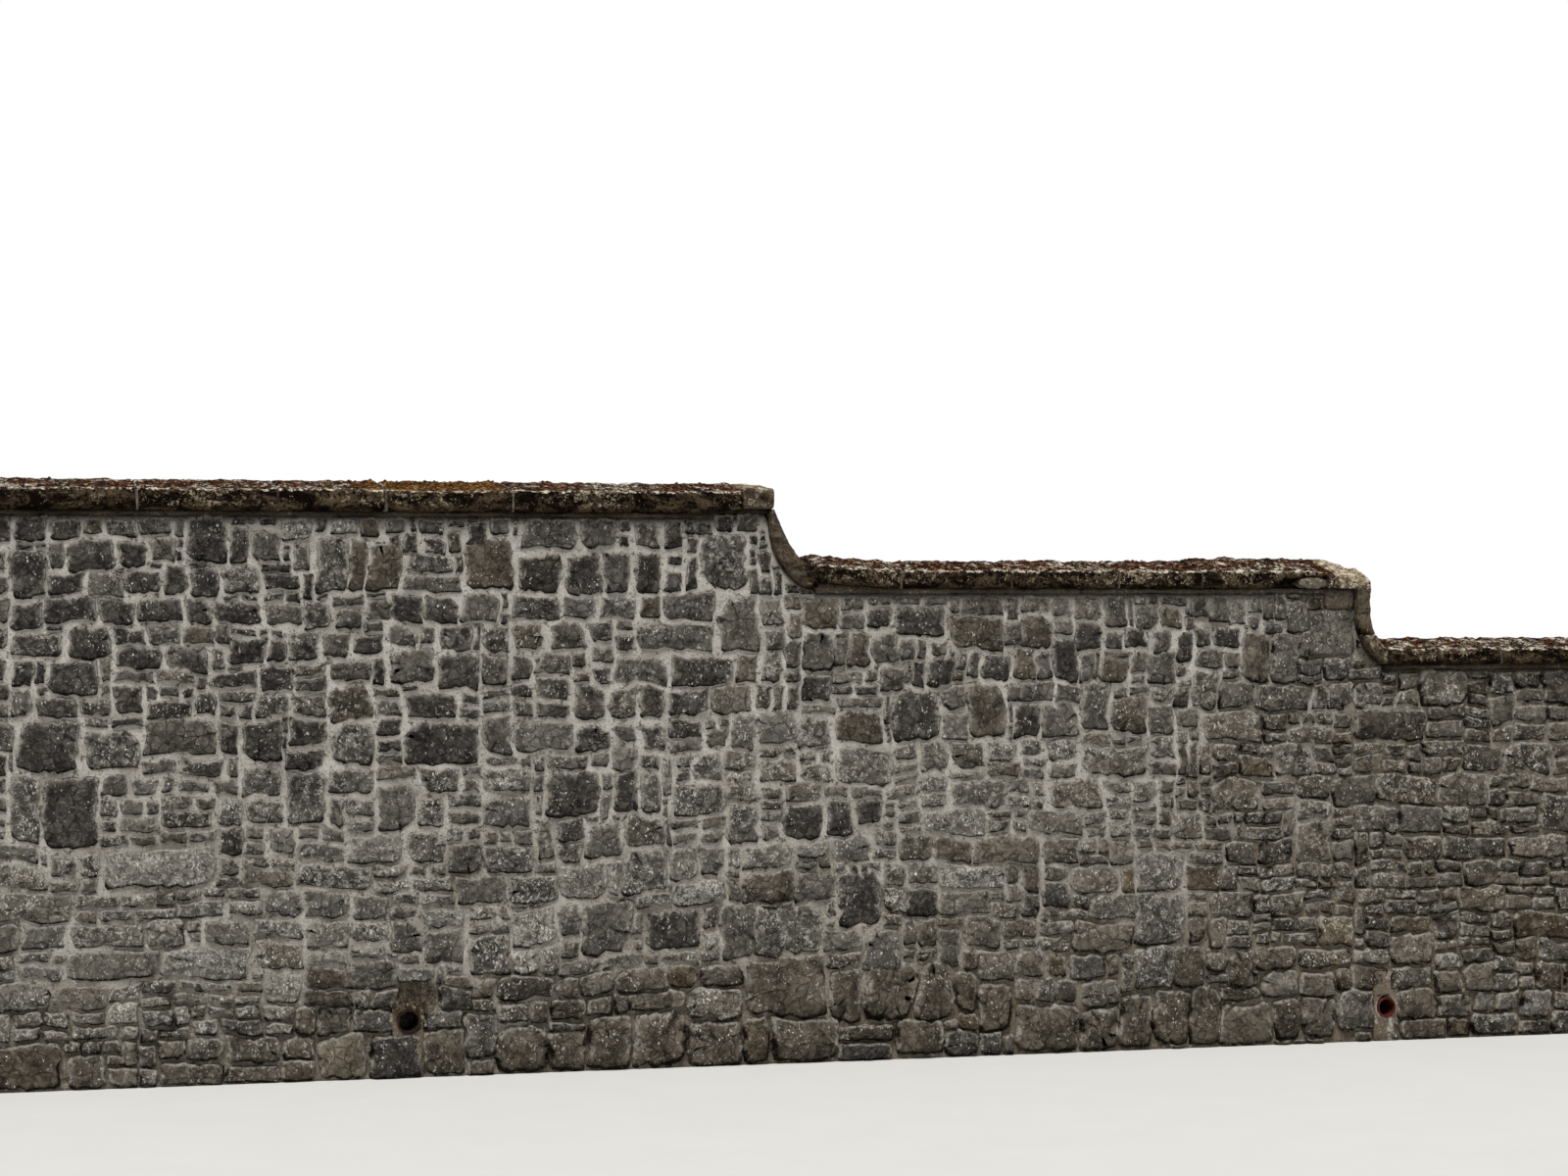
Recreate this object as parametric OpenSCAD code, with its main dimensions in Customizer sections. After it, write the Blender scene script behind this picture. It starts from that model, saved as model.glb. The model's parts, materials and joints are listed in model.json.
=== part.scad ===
// Stepped boundary wall of mortared rubble limestone.
// Three bays step down to the right. Each bay has a saddleback coping, each step ends in a
// hipped nose block, and a swept ramp coping runs from the nose down to the next bay.
// X runs along the wall towards the low bay, Y from front to back, Z up, in millimetres.

/* [Bays] */
// Length of the high bay, from the left end to the first step
high_len = 4000; // [3700:50:5000]
// Length of the middle bay, from the first step to the second
mid_len = 2825; // [2700:25:3600]
// Length of the low bay, from the second step to the right end
low_len = 2800; // [2400:50:4000]
// Height of the high coping's front arris above the foot
high_arris = 2490; // [2400:10:2700]
// Height of the middle coping's front arris
mid_arris = 2150; // [2080:10:2200]
// Height of the low coping's front arris
low_arris = 1795; // [1650:5:1850]
// Thickness of the rubble wall
wall_t = 450; // [380:10:600]
// How far the coping and its end pass the masonry at both ends of the wall
end_overhang = 20; // [5:5:60]

/* [Foot course] */
// Height of the course of large boulders at the foot
foot_h = 320; // [290:10:380]
// Mean length of a boulder
boulder_len = 330; // [250:10:450]
// Joint between two boulders
boulder_joint = 22; // [10:2:40]
// How far the boulders stand proud of the wall's face
boulder_proud = 26; // [10:2:40]
// Depth of a boulder's head, from its face into the wall
boulder_depth = 120; // [80:10:160]

/* [Coping] */
// Overhang of the coping past the wall's face
coping_overhang = 45; // [30:5:80]
// Height of the upright front face on the high coping
high_edge = 85; // [60:5:110]
// Height of the upright front face on the middle coping
mid_edge = 72; // [60:2:100]
// Height of the upright front face on the low coping
low_edge = 66; // [50:2:90]
// Rise of the saddleback ridge above the arris
ridge_rise = 48; // [30:2:70]
// Chamfer worn on the coping's lower arrises
drip_chamfer = 8; // [4:1:14]
// Joint between two coping units
coping_joint = 6; // [4:1:10]
// Thickness of the mortar bed under the coping
bed_t = 24; // [15:1:35]
// How far the mortar bed is set back from the wall's face
bed_inset = 12; // [5:1:30]
// Unit lengths of the high coping, from the first nose back to the left end
high_units = [508, 512, 543, 457, 583, 620];
// Unit lengths of the middle coping after the ramp's toe
mid_units = [385, 510, 510, 402];
// Unit lengths of the low coping after the ramp's toe
low_units = [579, 540, 565, 520];

/* [First step] */
// Length of the first nose block
nose_1_len = 140; // [110:5:200]
// How far the first nose block sits above its neighbour's arris
nose_1_lift = 20; // [0:5:30]
// Run of the first nose's hipped end
nose_1_hip = 65; // [40:5:90]
// Radius of the first ramp's main sweep
ramp_1_r = 440; // [400:10:480]
// Sweep of the first ramp's main curve from upright, in degrees
ramp_1_sweep = 41; // [36:1:46]
// Radius of the first ramp's toe
ramp_1_toe_r = 113; // [100:5:130]
// Radius of the first ramp's back
ramp_1_back_r = 327; // [310:5:350]
// Drop of the back's centre below the main sweep's centre
ramp_1_back_drop = 136; // [110:2:150]
// Thickness of the first ramp where it starts under the nose
ramp_1_top_t = 23; // [18:1:35]
// How far the first ramp's face stands past the nose
ramp_1_proud = 5; // [0:1:10]
// Lift of the middle coping where it meets the first ramp's toe
toe_lift = 25; // [10:1:30]

/* [Second step] */
// Length of the second nose block
nose_2_len = 150; // [120:5:200]
// Height left on the second nose's worn front face
nose_2_edge = 50; // [30:2:60]
// Rise of the ridge over the arris at the end of the middle coping
end_rise = 62; // [50:2:80]
// Run of the second nose's hipped end
nose_2_hip = 50; // [30:5:80]
// Drop of the second nose's hipped end
nose_2_drop = 40; // [20:2:50]
// Radius of the second ramp's sweep
ramp_2_r = 245; // [200:5:290]
// Sweep of the second ramp from upright, in degrees
ramp_2_sweep = 49; // [42:1:56]
// Thickness of the second ramp
ramp_2_t = 62; // [50:1:80]
// Height of the joint between the second ramp and its toe, above the low arris
ramp_2_joint = 70; // [40:2:100]
// Height of the second ramp's top above the middle arris
ramp_2_head = 22; // [0:2:40]
// Radius of the worn shoulder on the second ramp's top
ramp_2_shoulder = 40; // [20:2:60]

/* [Ramp section] */
// Crown of the ramps' weathered face
ramp_crown = 18; // [8:1:30]

/* [Second step stones] */
// Length of the broken front edge beside the second nose
break_len = 246; // [200:2:300]
// Height of the broken front edge
break_h = 50; // [35:1:56]
// Depth of the broken front edge
break_depth = 62; // [40:2:80]
// Length of the wedge stone set in the break
wedge_len = 140; // [100:5:180]
// Height of the block bedded under the second nose
seat_h = 98; // [80:2:120]
// Length of the corner block under the seat block
corner_len = 225; // [180:5:280]
// Height of the corner block
corner_h = 210; // [170:5:300]
// Depth of the seat and corner blocks, from the wall's face
corner_depth = 230; // [160:5:300]
// How far the corner stones stand proud of the wall's face
corner_proud = 10; // [4:1:20]

/* [Weep holes] */
// Distance of the high bay's weep pipe from the first step
high_weep_x = 1600; // [1200:10:2400]
// Height of the high bay's weep pipe above the foot
high_weep_z = 240; // [180:5:250]
// Distance of the low bay's weep pipe from the second step
low_weep_x = 95; // [80:5:600]
// Height of the low bay's weep pipe above the foot
low_weep_z = 155; // [120:5:240]
// Outer diameter of the high bay's pipe
high_pipe_d = 102; // [90:1:110]
// Outer diameter of the low bay's clay pipe
low_pipe_d = 92; // [80:1:100]
// Wall of the pipes
pipe_wall = 8; // [5:1:12]
// Cover of mortar round a pipe
pipe_cover = 18; // [12:1:19]
// How far the pipes and their mortar stand past the wall's face
pipe_proud = 6; // [2:1:12]

/* [Hidden] */
$fn = 96;
total_len = high_len + mid_len + low_len;
coping_w = wall_t + 2 * coping_overhang;
left_end = -total_len / 2;
right_end = total_len / 2;
step_1 = left_end + high_len;
step_2 = step_1 + mid_len;
wall_left = left_end + end_overhang;
wall_right = right_end - end_overhang;

// Undersides of the copings, and tops of the masonry under their beds
high_base = high_arris - high_edge;
mid_base = mid_arris - mid_edge;
low_base = low_arris - low_edge;
high_top = high_base - bed_t;
mid_top = mid_base - bed_t;
low_top = low_base - bed_t;

// First ramp: centres of its sweep, toe and back, and the end of its toe
nose_1_base = high_base + nose_1_lift;
toe_1_arris = mid_arris + toe_lift;
ramp_1_face = step_1 + ramp_1_proud;
sweep_1_x = ramp_1_face + ramp_1_r;
sweep_1_z = toe_1_arris + ramp_1_toe_r + (ramp_1_r - ramp_1_toe_r) * sin(ramp_1_sweep);
toe_1_x = sweep_1_x - (ramp_1_r - ramp_1_toe_r) * cos(ramp_1_sweep);
toe_1_z = toe_1_arris + ramp_1_toe_r;
back_1_x = ramp_1_face - ramp_1_top_t + ramp_1_back_r;
back_1_z = sweep_1_z - ramp_1_back_drop;

// Second ramp
ramp_2_c_x = step_2 + ramp_2_r;
ramp_2_c_z = low_arris + ramp_2_r * sin(ramp_2_sweep);
toe_2_x = step_2 + ramp_2_r * (1 - cos(ramp_2_sweep));
ramp_2_back = ramp_2_r + ramp_2_t;
ramp_2_top = mid_arris + ramp_2_head;
slab_2_x = step_2 - ramp_2_t;
nose_2_x = slab_2_x - nose_2_len;

// Running positions of the coping units
function sum_to(list, i) = i <= 0 ? 0 : list[i - 1] + sum_to(list, i - 1);
high_nose_x = step_1 - nose_1_len;
mid_start = toe_1_x;
low_start = toe_2_x;

// Weep pipes
high_weep = step_1 - high_weep_x;
low_weep = step_2 + low_weep_x;
function collar_w(pipe_d) = pipe_d + 2 * pipe_cover;

// Extrudes an outline drawn in X and Z across the wall, centred on Y
module across(width) {
    rotate([90, 0, 0]) linear_extrude(height = width, center = true) children();
}

// Cross-section of a coping in Y and Z, with its underside at 0
module coping_section(edge, rise) {
    half = coping_w / 2;
    polygon([[-half + drip_chamfer, 0], [half - drip_chamfer, 0], [half, drip_chamfer],
             [half, edge], [0, edge + rise], [-half, edge], [-half, drip_chamfer]]);
}

// Straight coping from x0 to x1 on an underside at height base
module coping_run(x0, x1, base, edge, rise) {
    translate([x0, 0, base]) rotate([90, 0, 90])
        linear_extrude(height = x1 - x0) coping_section(edge, rise);
}

// Eight-sided outline of a boulder, with its corners worn off
module boulder_outline(x0, x1, z0, z1) {
    worn = min(x1 - x0, z1 - z0) * 0.24;
    polygon([[x0 + worn, z0], [x1 - worn, z0], [x1, z0 + worn], [x1, z1 - worn],
             [x1 - worn, z1], [x0 + worn, z1], [x0, z1 - worn], [x0, z0 + worn]]);
}

// One boulder's head: its full outline, then a smaller one that stands proud of it
module boulder(x0, x1, z0, z1, side) {
    for (layer = [0, 1]) {
        rim = layer * boulder_proud;
        face = wall_t / 2 + (layer + 1) * boulder_proud / 2;
        translate([0, side * (face - boulder_depth / 2), 0]) across(boulder_depth)
            boulder_outline(x0 + rim, x1 - rim, z0 + rim, z1 - rim);
    }
}

// Share from 0 to 1 that differs from boulder to boulder
function vary(i) = i * 0.618 - floor(i * 0.618);

// Row of boulders from x0 to x1, as many as fit, with ends a little uneven
function boulder_edge(x0, x1, count, i) =
    x0 + (x1 - x0) * (i + (i > 0 && i < count ? (vary(i) - 0.5) * 0.5 : 0)) / count;

module foot_course(x0, x1, shift) {
    count = max(1, round((x1 - x0) / boulder_len));
    joint = boulder_joint / 2;
    core_w = wall_t - 2 * joint;
    translate([x0, -core_w / 2, 0]) cube([x1 - x0, core_w, foot_h]);
    for (side = [-1, 1], i = [0 : count - 1]) {
        a = boulder_edge(x0, x1, count, i) + (i > 0 ? joint : 0);
        b = boulder_edge(x0, x1, count, i + 1) - (i < count - 1 ? joint : 0);
        boulder(a, b, 0, foot_h - joint * vary(i + shift), side);
    }
}

module high_foot_left() {
    color("dimgray") foot_course(wall_left, high_weep - collar_w(high_pipe_d) / 2, 1);
}

module high_foot_right() {
    color("dimgray") foot_course(high_weep + collar_w(high_pipe_d) / 2, toe_1_x, 2);
}

module mid_foot() {
    color("dimgray") foot_course(toe_1_x, low_weep - collar_w(low_pipe_d) / 2, 3);
}

module low_foot() {
    color("dimgray") foot_course(low_weep + collar_w(low_pipe_d) / 2, wall_right, 4);
}

// Outline in X and Z of all that lies before a ramp's back: a curve about its centre and the
// upright above it, down to the underside of the coping below
module before_back(x, z, r, low) {
    intersection() {
        union() {
            translate([x, z]) circle(r = r);
            translate([x - r, z]) square([r + total_len, high_arris]);
        }
        translate([x - r, low]) square([r + total_len, high_arris]);
    }
}

module before_back_1() { before_back(back_1_x, back_1_z, ramp_1_back_r, mid_base); }
module before_back_2() { before_back(ramp_2_c_x, ramp_2_c_z, ramp_2_back, low_base); }

// Box cut into the masonry's face for a stone of its own
module face_pocket(x, z, len, h) {
    translate([x, -wall_t, z]) cube([len, wall_t / 2 + corner_depth, h]);
}

module seat_pocket() { face_pocket(nose_2_x, mid_base - seat_h, nose_2_len, seat_h); }
module corner_pocket() {
    face_pocket(slab_2_x - corner_len, mid_base - seat_h - corner_h, corner_len, corner_h);
}

module high_wall() {
    color("gray") across(wall_t) difference() {
        union() {
            translate([wall_left, foot_h]) square([high_nose_x - wall_left, high_top - foot_h]);
            translate([high_nose_x, foot_h])
                square([toe_1_x - high_nose_x, nose_1_base - bed_t - foot_h]);
        }
        before_back_1();
    }
}

module mid_wall() {
    color("gray") difference() {
        across(wall_t) difference() {
            translate([toe_1_x, foot_h]) square([toe_2_x - toe_1_x, mid_top - foot_h]);
            before_back_2();
        }
        seat_pocket();
        corner_pocket();
    }
}

module low_wall() {
    color("gray") across(wall_t)
        translate([toe_2_x, foot_h]) square([wall_right - toe_2_x, low_top - foot_h]);
}

// Mortar bed from x0 to x1, from the masonry's top at z0 up to z1
module bed(x0, x1, z0, z1) {
    translate([x0, -wall_t / 2 + bed_inset, z0]) cube([x1 - x0, wall_t - 2 * bed_inset, z1 - z0]);
}

module high_bed() {
    color("rosybrown") {
        bed(wall_left, high_nose_x, high_top, high_base);
        bed(high_nose_x, back_1_x - ramp_1_back_r, nose_1_base - bed_t, nose_1_base);
    }
}

// The middle bed thickens towards the first ramp's toe, where the coping is lifted
module mid_bed() {
    color("rosybrown") difference() {
        across(wall_t - 2 * bed_inset)
            polygon([[toe_1_x, mid_top], [slab_2_x, mid_top], [slab_2_x, mid_base],
                     [mid_start + mid_units[0], mid_base], [toe_1_x, mid_base + toe_lift]]);
        seat_pocket();
    }
}

module low_bed() {
    color("rosybrown") bed(toe_2_x, wall_right, low_top, low_base);
}

module high_unit(i) {
    right = high_nose_x - sum_to(high_units, i);
    left = i < len(high_units) ? right - high_units[i] + coping_joint : left_end;
    coping_run(left, right, high_base, high_edge, ridge_rise);
}

// The first middle unit falls from the ramp's toe by this angle; the rest lie level
tail_fall = asin(toe_lift / mid_units[0]);

module mid_unit(i) {
    left = mid_start + sum_to(mid_units, i);
    if (i == 0) {
        translate([left + mid_units[0], 0, mid_base]) rotate([0, tail_fall, 0])
            translate([-mid_units[0], 0, 0])
                coping_run(0, mid_units[0] - 2 * coping_joint, 0, mid_edge, ridge_rise);
    } else if (i < len(mid_units)) {
        coping_run(left, left + mid_units[i] - coping_joint, mid_base, mid_edge, ridge_rise);
    } else {
        difference() {
            coping_run(left, nose_2_x, mid_base, mid_edge, end_rise);
            translate([nose_2_x - break_len, -coping_w, mid_base - break_h])
                cube([break_len * 2, coping_w / 2 + break_depth, 2 * break_h]);
        }
    }
}

module low_unit(i) {
    left = low_start + sum_to(low_units, i);
    right = i < len(low_units) ? left + low_units[i] - coping_joint : right_end;
    coping_run(left, right, low_base, low_edge, ridge_rise);
}

module high_coping_1() { color("darkgray") high_unit(6); }
module high_coping_2() { color("darkgray") high_unit(5); }
module high_coping_3() { color("darkgray") high_unit(4); }
module high_coping_4() { color("darkgray") high_unit(3); }
module high_coping_5() { color("darkgray") high_unit(2); }
module high_coping_6() { color("darkgray") high_unit(1); }
module high_coping_7() { color("darkgray") high_unit(0); }
module mid_coping_1() { color("darkgray") mid_unit(0); }
module mid_coping_2() { color("darkgray") mid_unit(1); }
module mid_coping_3() { color("darkgray") mid_unit(2); }
module mid_coping_4() { color("darkgray") mid_unit(3); }
module mid_coping_5() { color("darkgray") mid_unit(4); }
module low_coping_1() { color("darkgray") low_unit(0); }
module low_coping_2() { color("darkgray") low_unit(1); }
module low_coping_3() { color("darkgray") low_unit(2); }
module low_coping_4() { color("darkgray") low_unit(3); }
module low_coping_5() { color("darkgray") low_unit(4); }

// Nose block: the saddleback section, cut by an end view that hips it down
module nose(x0, len, base, edge, rise, hip, drop) {
    top = edge + rise;
    intersection() {
        coping_run(x0, x0 + len, base, edge, rise);
        across(coping_w * 2) translate([x0, base])
            polygon([[0, 0], [len, 0], [len, top - drop], [len - hip, top], [0, top]]);
    }
}

module nose_1() {
    color("silver")
        nose(high_nose_x, nose_1_len, nose_1_base, high_edge, ridge_rise - nose_1_lift,
             nose_1_hip, ridge_rise - nose_1_lift);
}

module nose_2() {
    color("tan")
        nose(nose_2_x, nose_2_len, mid_base, nose_2_edge, mid_edge + end_rise - nose_2_edge,
             nose_2_hip, nose_2_drop);
}

// Ramp section in X and Y: weathered face crowned towards the sweep's centre at X = 0
module ramp_section(r, depth) {
    half = coping_w / 2;
    polygon([[r, -half], [r - ramp_crown, 0], [r, half], [r + depth, half], [r + depth, -half]]);
}

// Part of a ring swept below the centre, from upright at angle 0 to angle sweep
module ramp_arc(x, z, r, depth, from, to) {
    translate([x, 0, z]) rotate([90, 0, 0]) rotate([0, 0, 180 + from])
        rotate_extrude(angle = to - from) ramp_section(r, depth);
}

module ramp_1() {
    color("darkgray") intersection() {
        union() {
            ramp_arc(sweep_1_x, sweep_1_z, ramp_1_r, coping_w, 0, ramp_1_sweep);
            ramp_arc(toe_1_x, toe_1_z, ramp_1_toe_r, coping_w, ramp_1_sweep, 90);
        }
        across(coping_w) intersection() {
            before_back_1();
            translate([step_1 - coping_w, mid_base])
                square([toe_1_x - step_1 + coping_w, nose_1_base - mid_base]);
        }
    }
}

// Outline of the second ramp's end view, with a worn shoulder on its head
module ramp_2_outline() {
    shoulder_x = step_2 + ramp_crown - ramp_2_shoulder;
    shoulder_z = ramp_2_top - ramp_2_shoulder;
    translate([slab_2_x, low_base]) square([toe_2_x - slab_2_x, shoulder_z - low_base]);
    translate([slab_2_x, low_base]) square([shoulder_x - slab_2_x, ramp_2_top - low_base]);
    translate([shoulder_x, shoulder_z]) circle(r = ramp_2_shoulder);
}

// All that lies under the middle coping's worn end slopes, carried on past the second nose
module under_end_slopes() {
    ridge = mid_arris + end_rise;
    eaves = mid_base + nose_2_edge;
    rotate([90, 0, 90]) linear_extrude(height = total_len, center = true)
        polygon([[-coping_w, 0], [coping_w, 0], [coping_w, 2 * eaves - ridge], [0, ridge],
                 [-coping_w, 2 * eaves - ridge]]);
}

// The second ramp and its toe together, before the joint between them
module ramp_2_whole() {
    intersection() {
        union() {
            ramp_arc(ramp_2_c_x, ramp_2_c_z, ramp_2_r, coping_w, 0, 90);
            translate([ramp_2_c_x, 0, ramp_2_c_z]) mirror([1, 0, 0])
                linear_extrude(height = ramp_2_top - ramp_2_c_z) ramp_section(ramp_2_r, coping_w);
        }
        across(coping_w) intersection() {
            before_back_2();
            ramp_2_outline();
        }
    }
}

module ramp_2() {
    color("darkgray") intersection() {
        ramp_2_whole();
        under_end_slopes();
        translate([slab_2_x, -coping_w, low_arris + ramp_2_joint])
            cube([coping_w, coping_w * 2, mid_arris]);
    }
}

module ramp_2_toe() {
    color("silver") difference() {
        ramp_2_whole();
        translate([slab_2_x - 1, -coping_w, low_arris + ramp_2_joint])
            cube([coping_w, coping_w * 2, mid_arris]);
    }
}

module wedge_stone() {
    h = break_h;
    color("khaki") translate([nose_2_x - wedge_len, -coping_w / 2 + break_depth / 2, mid_base])
        across(break_depth) polygon([[0, 0.3 * h], [0.25 * wedge_len, 0], [0.8 * wedge_len, 0.1 * h],
                                     [wedge_len, 0.5 * h], [0.8 * wedge_len, h], [0.3 * wedge_len, h]]);
}

module seat_block() {
    color("saddlebrown")
        translate([nose_2_x, -wall_t / 2 - corner_proud, mid_base - seat_h])
            cube([nose_2_len, corner_depth + corner_proud, seat_h]);
}

module corner_block() {
    color("slategray")
        translate([slab_2_x - corner_len, -wall_t / 2 - corner_proud, mid_base - seat_h - corner_h])
            cube([corner_len, corner_depth + corner_proud, corner_h]);
}

// Mortar collar from the foot up to the top of the foot course, with the pipe's bore
module weep_collar(x, z, pipe_d) {
    w = collar_w(pipe_d);
    depth = wall_t + 2 * pipe_proud;
    difference() {
        translate([x - w / 2, -depth / 2, 0]) cube([w, depth, foot_h]);
        translate([x, 0, z]) rotate([90, 0, 0]) cylinder(d = pipe_d, h = depth * 2, center = true);
    }
}

module weep_pipe(x, z, pipe_d) {
    translate([x, 0, z]) rotate([90, 0, 0]) difference() {
        cylinder(d = pipe_d, h = wall_t + 4 * pipe_proud, center = true);
        cylinder(d = pipe_d - 2 * pipe_wall, h = wall_t * 2, center = true);
    }
}

module high_weep_collar() { color("beige") weep_collar(high_weep, high_weep_z, high_pipe_d); }
module high_weep_pipe() { color("dimgray") weep_pipe(high_weep, high_weep_z, high_pipe_d); }
module low_weep_collar() { color("beige") weep_collar(low_weep, low_weep_z, low_pipe_d); }
module low_weep_pipe() { color("sienna") weep_pipe(low_weep, low_weep_z, low_pipe_d); }

high_foot_left();
high_foot_right();
mid_foot();
low_foot();
high_wall();
mid_wall();
low_wall();
high_bed();
mid_bed();
low_bed();
high_coping_1();
high_coping_2();
high_coping_3();
high_coping_4();
high_coping_5();
high_coping_6();
high_coping_7();
mid_coping_1();
mid_coping_2();
mid_coping_3();
mid_coping_4();
mid_coping_5();
low_coping_1();
low_coping_2();
low_coping_3();
low_coping_4();
low_coping_5();
nose_1();
nose_2();
ramp_1();
ramp_2();
ramp_2_toe();
wedge_stone();
seat_block();
corner_block();
high_weep_collar();
high_weep_pipe();
low_weep_collar();
low_weep_pipe();
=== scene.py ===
"""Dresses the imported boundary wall: rubble, pointing, weathered copings, moss and stage.

The frame gives every place in metres: X along the wall, Y from front to back, Z up.
"""

import json
import math
import random
from typing import NamedTuple

import bmesh
import bpy
import numpy as np
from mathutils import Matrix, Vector, noise

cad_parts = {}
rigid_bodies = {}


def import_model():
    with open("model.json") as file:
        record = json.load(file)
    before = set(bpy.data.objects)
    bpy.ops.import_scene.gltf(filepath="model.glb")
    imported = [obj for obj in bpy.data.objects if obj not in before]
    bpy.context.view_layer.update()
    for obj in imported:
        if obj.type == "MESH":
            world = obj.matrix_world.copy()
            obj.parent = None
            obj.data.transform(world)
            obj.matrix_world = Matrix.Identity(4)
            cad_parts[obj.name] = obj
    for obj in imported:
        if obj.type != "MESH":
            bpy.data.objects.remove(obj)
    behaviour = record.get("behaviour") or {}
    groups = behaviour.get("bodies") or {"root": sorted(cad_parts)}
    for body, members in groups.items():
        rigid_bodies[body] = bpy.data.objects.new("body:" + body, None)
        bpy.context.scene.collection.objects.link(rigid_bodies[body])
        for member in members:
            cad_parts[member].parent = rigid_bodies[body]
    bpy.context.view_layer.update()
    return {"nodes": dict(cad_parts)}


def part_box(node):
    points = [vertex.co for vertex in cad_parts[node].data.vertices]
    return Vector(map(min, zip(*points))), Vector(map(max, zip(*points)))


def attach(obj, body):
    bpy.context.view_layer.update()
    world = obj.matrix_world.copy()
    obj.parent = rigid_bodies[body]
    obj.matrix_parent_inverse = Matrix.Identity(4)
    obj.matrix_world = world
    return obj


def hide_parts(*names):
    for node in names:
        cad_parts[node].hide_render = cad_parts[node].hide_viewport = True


bl_info = {
    "name": "Stepped rubble wall",
    "version": (1, 0, 0),
    "blender": (4, 5, 0),
    "location": "3D View > Sidebar > Wall",
    "description": "Builds the masonry, copings, moss and stage of a stepped boundary wall",
    "category": "Object",
}

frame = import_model()

BOXES = {}


def box(node):
    """Lowest and highest corner of a node of the frame, measured once."""
    if node not in BOXES:
        BOXES[node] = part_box(node)
    return BOXES[node]


def low(node):
    """Lowest corner of a node of the frame."""
    return box(node)[0]


def high(node):
    """Highest corner of a node of the frame."""
    return box(node)[1]


# Places along the wall and up it, read from the frame
FACE = high("high_wall").y
COPING_HALF = high("high_coping_2").y
WALL_LEFT = low("high_wall").x
WALL_RIGHT = high("low_wall").x
TOE_1 = high("high_wall").x
TOE_2 = high("mid_wall").x
NOSE_1_X = low("nose_1").x
STEP_1 = high("nose_1").x
NOSE_1_BASE = low("nose_1").z
HIGH_TOP = low("high_bed").z
HIGH_BASE = low("high_coping_2").z
NOSE_2_X = low("nose_2").x
SLAB_2_X = high("nose_2").x
MID_TOP = low("mid_bed").z
MID_BASE = low("mid_coping_2").z
LOW_TOP = low("low_bed").z
LOW_BASE = low("low_coping_2").z
PIPES = ("high_weep", "low_weep")
# Height left on the second nose's worn front face
WORN_EDGE = 0.050
# Length of the broken edge beside the second nose, and its height
BREAK_RUN = 0.246
BREAK_RISE = 0.048
# Middle of the stretch of golden moss, back from the first step
GOLD_FROM_STEP = 1.50
# Straight part of the second ramp that is carried up from its sweep
SLAB_UPRIGHT = 0.04
# How far the mortar core's long edges lie behind the face, and steps across it or a bed
CORE_INSET = 0.008
CORE_STEPS = 12
# Space left round a weep pipe in the pointing, and how deep it goes
PIPE_SPACE = 0.012
PIPE_HOLLOW = 0.15
# Points closer than this are joined
JOIN_REACH = 0.00005


def linear(red, green, blue):
    """A colour measured on the usual 0 to 255 scale, as Blender's shaders want it."""
    out = []
    for part in (red, green, blue):
        share = part / 255
        out.append(share / 12.92 if share < 0.04045 else ((share + 0.055) / 1.055) ** 2.4)
    return (*out, 1.0)


def size(name, description, default):
    """A length in metres."""
    return bpy.props.FloatProperty(
        name=name, description=description, default=default, subtype="DISTANCE",
        unit="LENGTH")


def turn_by(name, description, degrees):
    """An angle, given in degrees."""
    return bpy.props.FloatProperty(
        name=name, description=description, default=math.radians(degrees),
        subtype="ANGLE", unit="ROTATION")


def strength(name, description, default):
    """A plain number from 0 up."""
    return bpy.props.FloatProperty(
        name=name, description=description, default=default, min=0.0)


def tint(name, description, default):
    """A colour."""
    return bpy.props.FloatVectorProperty(
        name=name, description=description, default=linear(*default), size=4,
        min=0.0, max=1.0, subtype="COLOR")


class WallRamps(bpy.types.PropertyGroup):
    """Curves of the two swept ramp copings, as the frame has them."""

    sweep_r: size("Sweep radius", "Radius of the first ramp's main sweep", 0.440)
    sweep_angle: turn_by("Sweep angle", "Angle that the first ramp's main sweep turns", 41)
    toe_r: size("Toe radius", "Radius of the first ramp's toe", 0.113)
    back_r: size("Back radius", "Radius of the first ramp's back", 0.327)
    back_drop: size("Back drop", "How far the back's centre lies below the sweep's", 0.136)
    top_t: size("Top thickness", "Thickness of the first ramp under the nose", 0.023)
    proud: size("Proud", "How far the first ramp stands past the nose", 0.005)
    slab_r: size("Slab radius", "Radius of the second ramp's sweep", 0.245)
    slab_angle: turn_by("Slab angle", "Angle that the second ramp's sweep turns", 49)
    crown: size("Crown", "Crown of the ramps' weathered face", 0.018)
    toe_lift: size("Toe lift", "Lift of the middle coping at the first ramp's toe", 0.025)
    worn: size("Worn shoulder", "Radius worn on the second ramp's head", 0.030)


class WallRubble(bpy.types.PropertyGroup):
    """Shape of the rubble stones and the mortar between them."""

    seed: bpy.props.IntProperty(
        name="Seed", description="Picks another layout of the stones", default=11)
    cell: size("Cell", "Grid on which stones are laid out", 0.01)
    smallest: size("Smallest stone", "Least height of a laid stone", 0.05)
    depth: size("Stone depth", "How far a stone's head runs into the mortar", 0.034)
    rough: size("Roughness", "Height of the lumps on a stone's face", 0.0075)
    recess: size("Recess", "How far the pointing lies behind the wall's face", 0.004)
    mortar_step: size("Mortar step", "Grid of the pointing's surface", 0.018)


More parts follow.
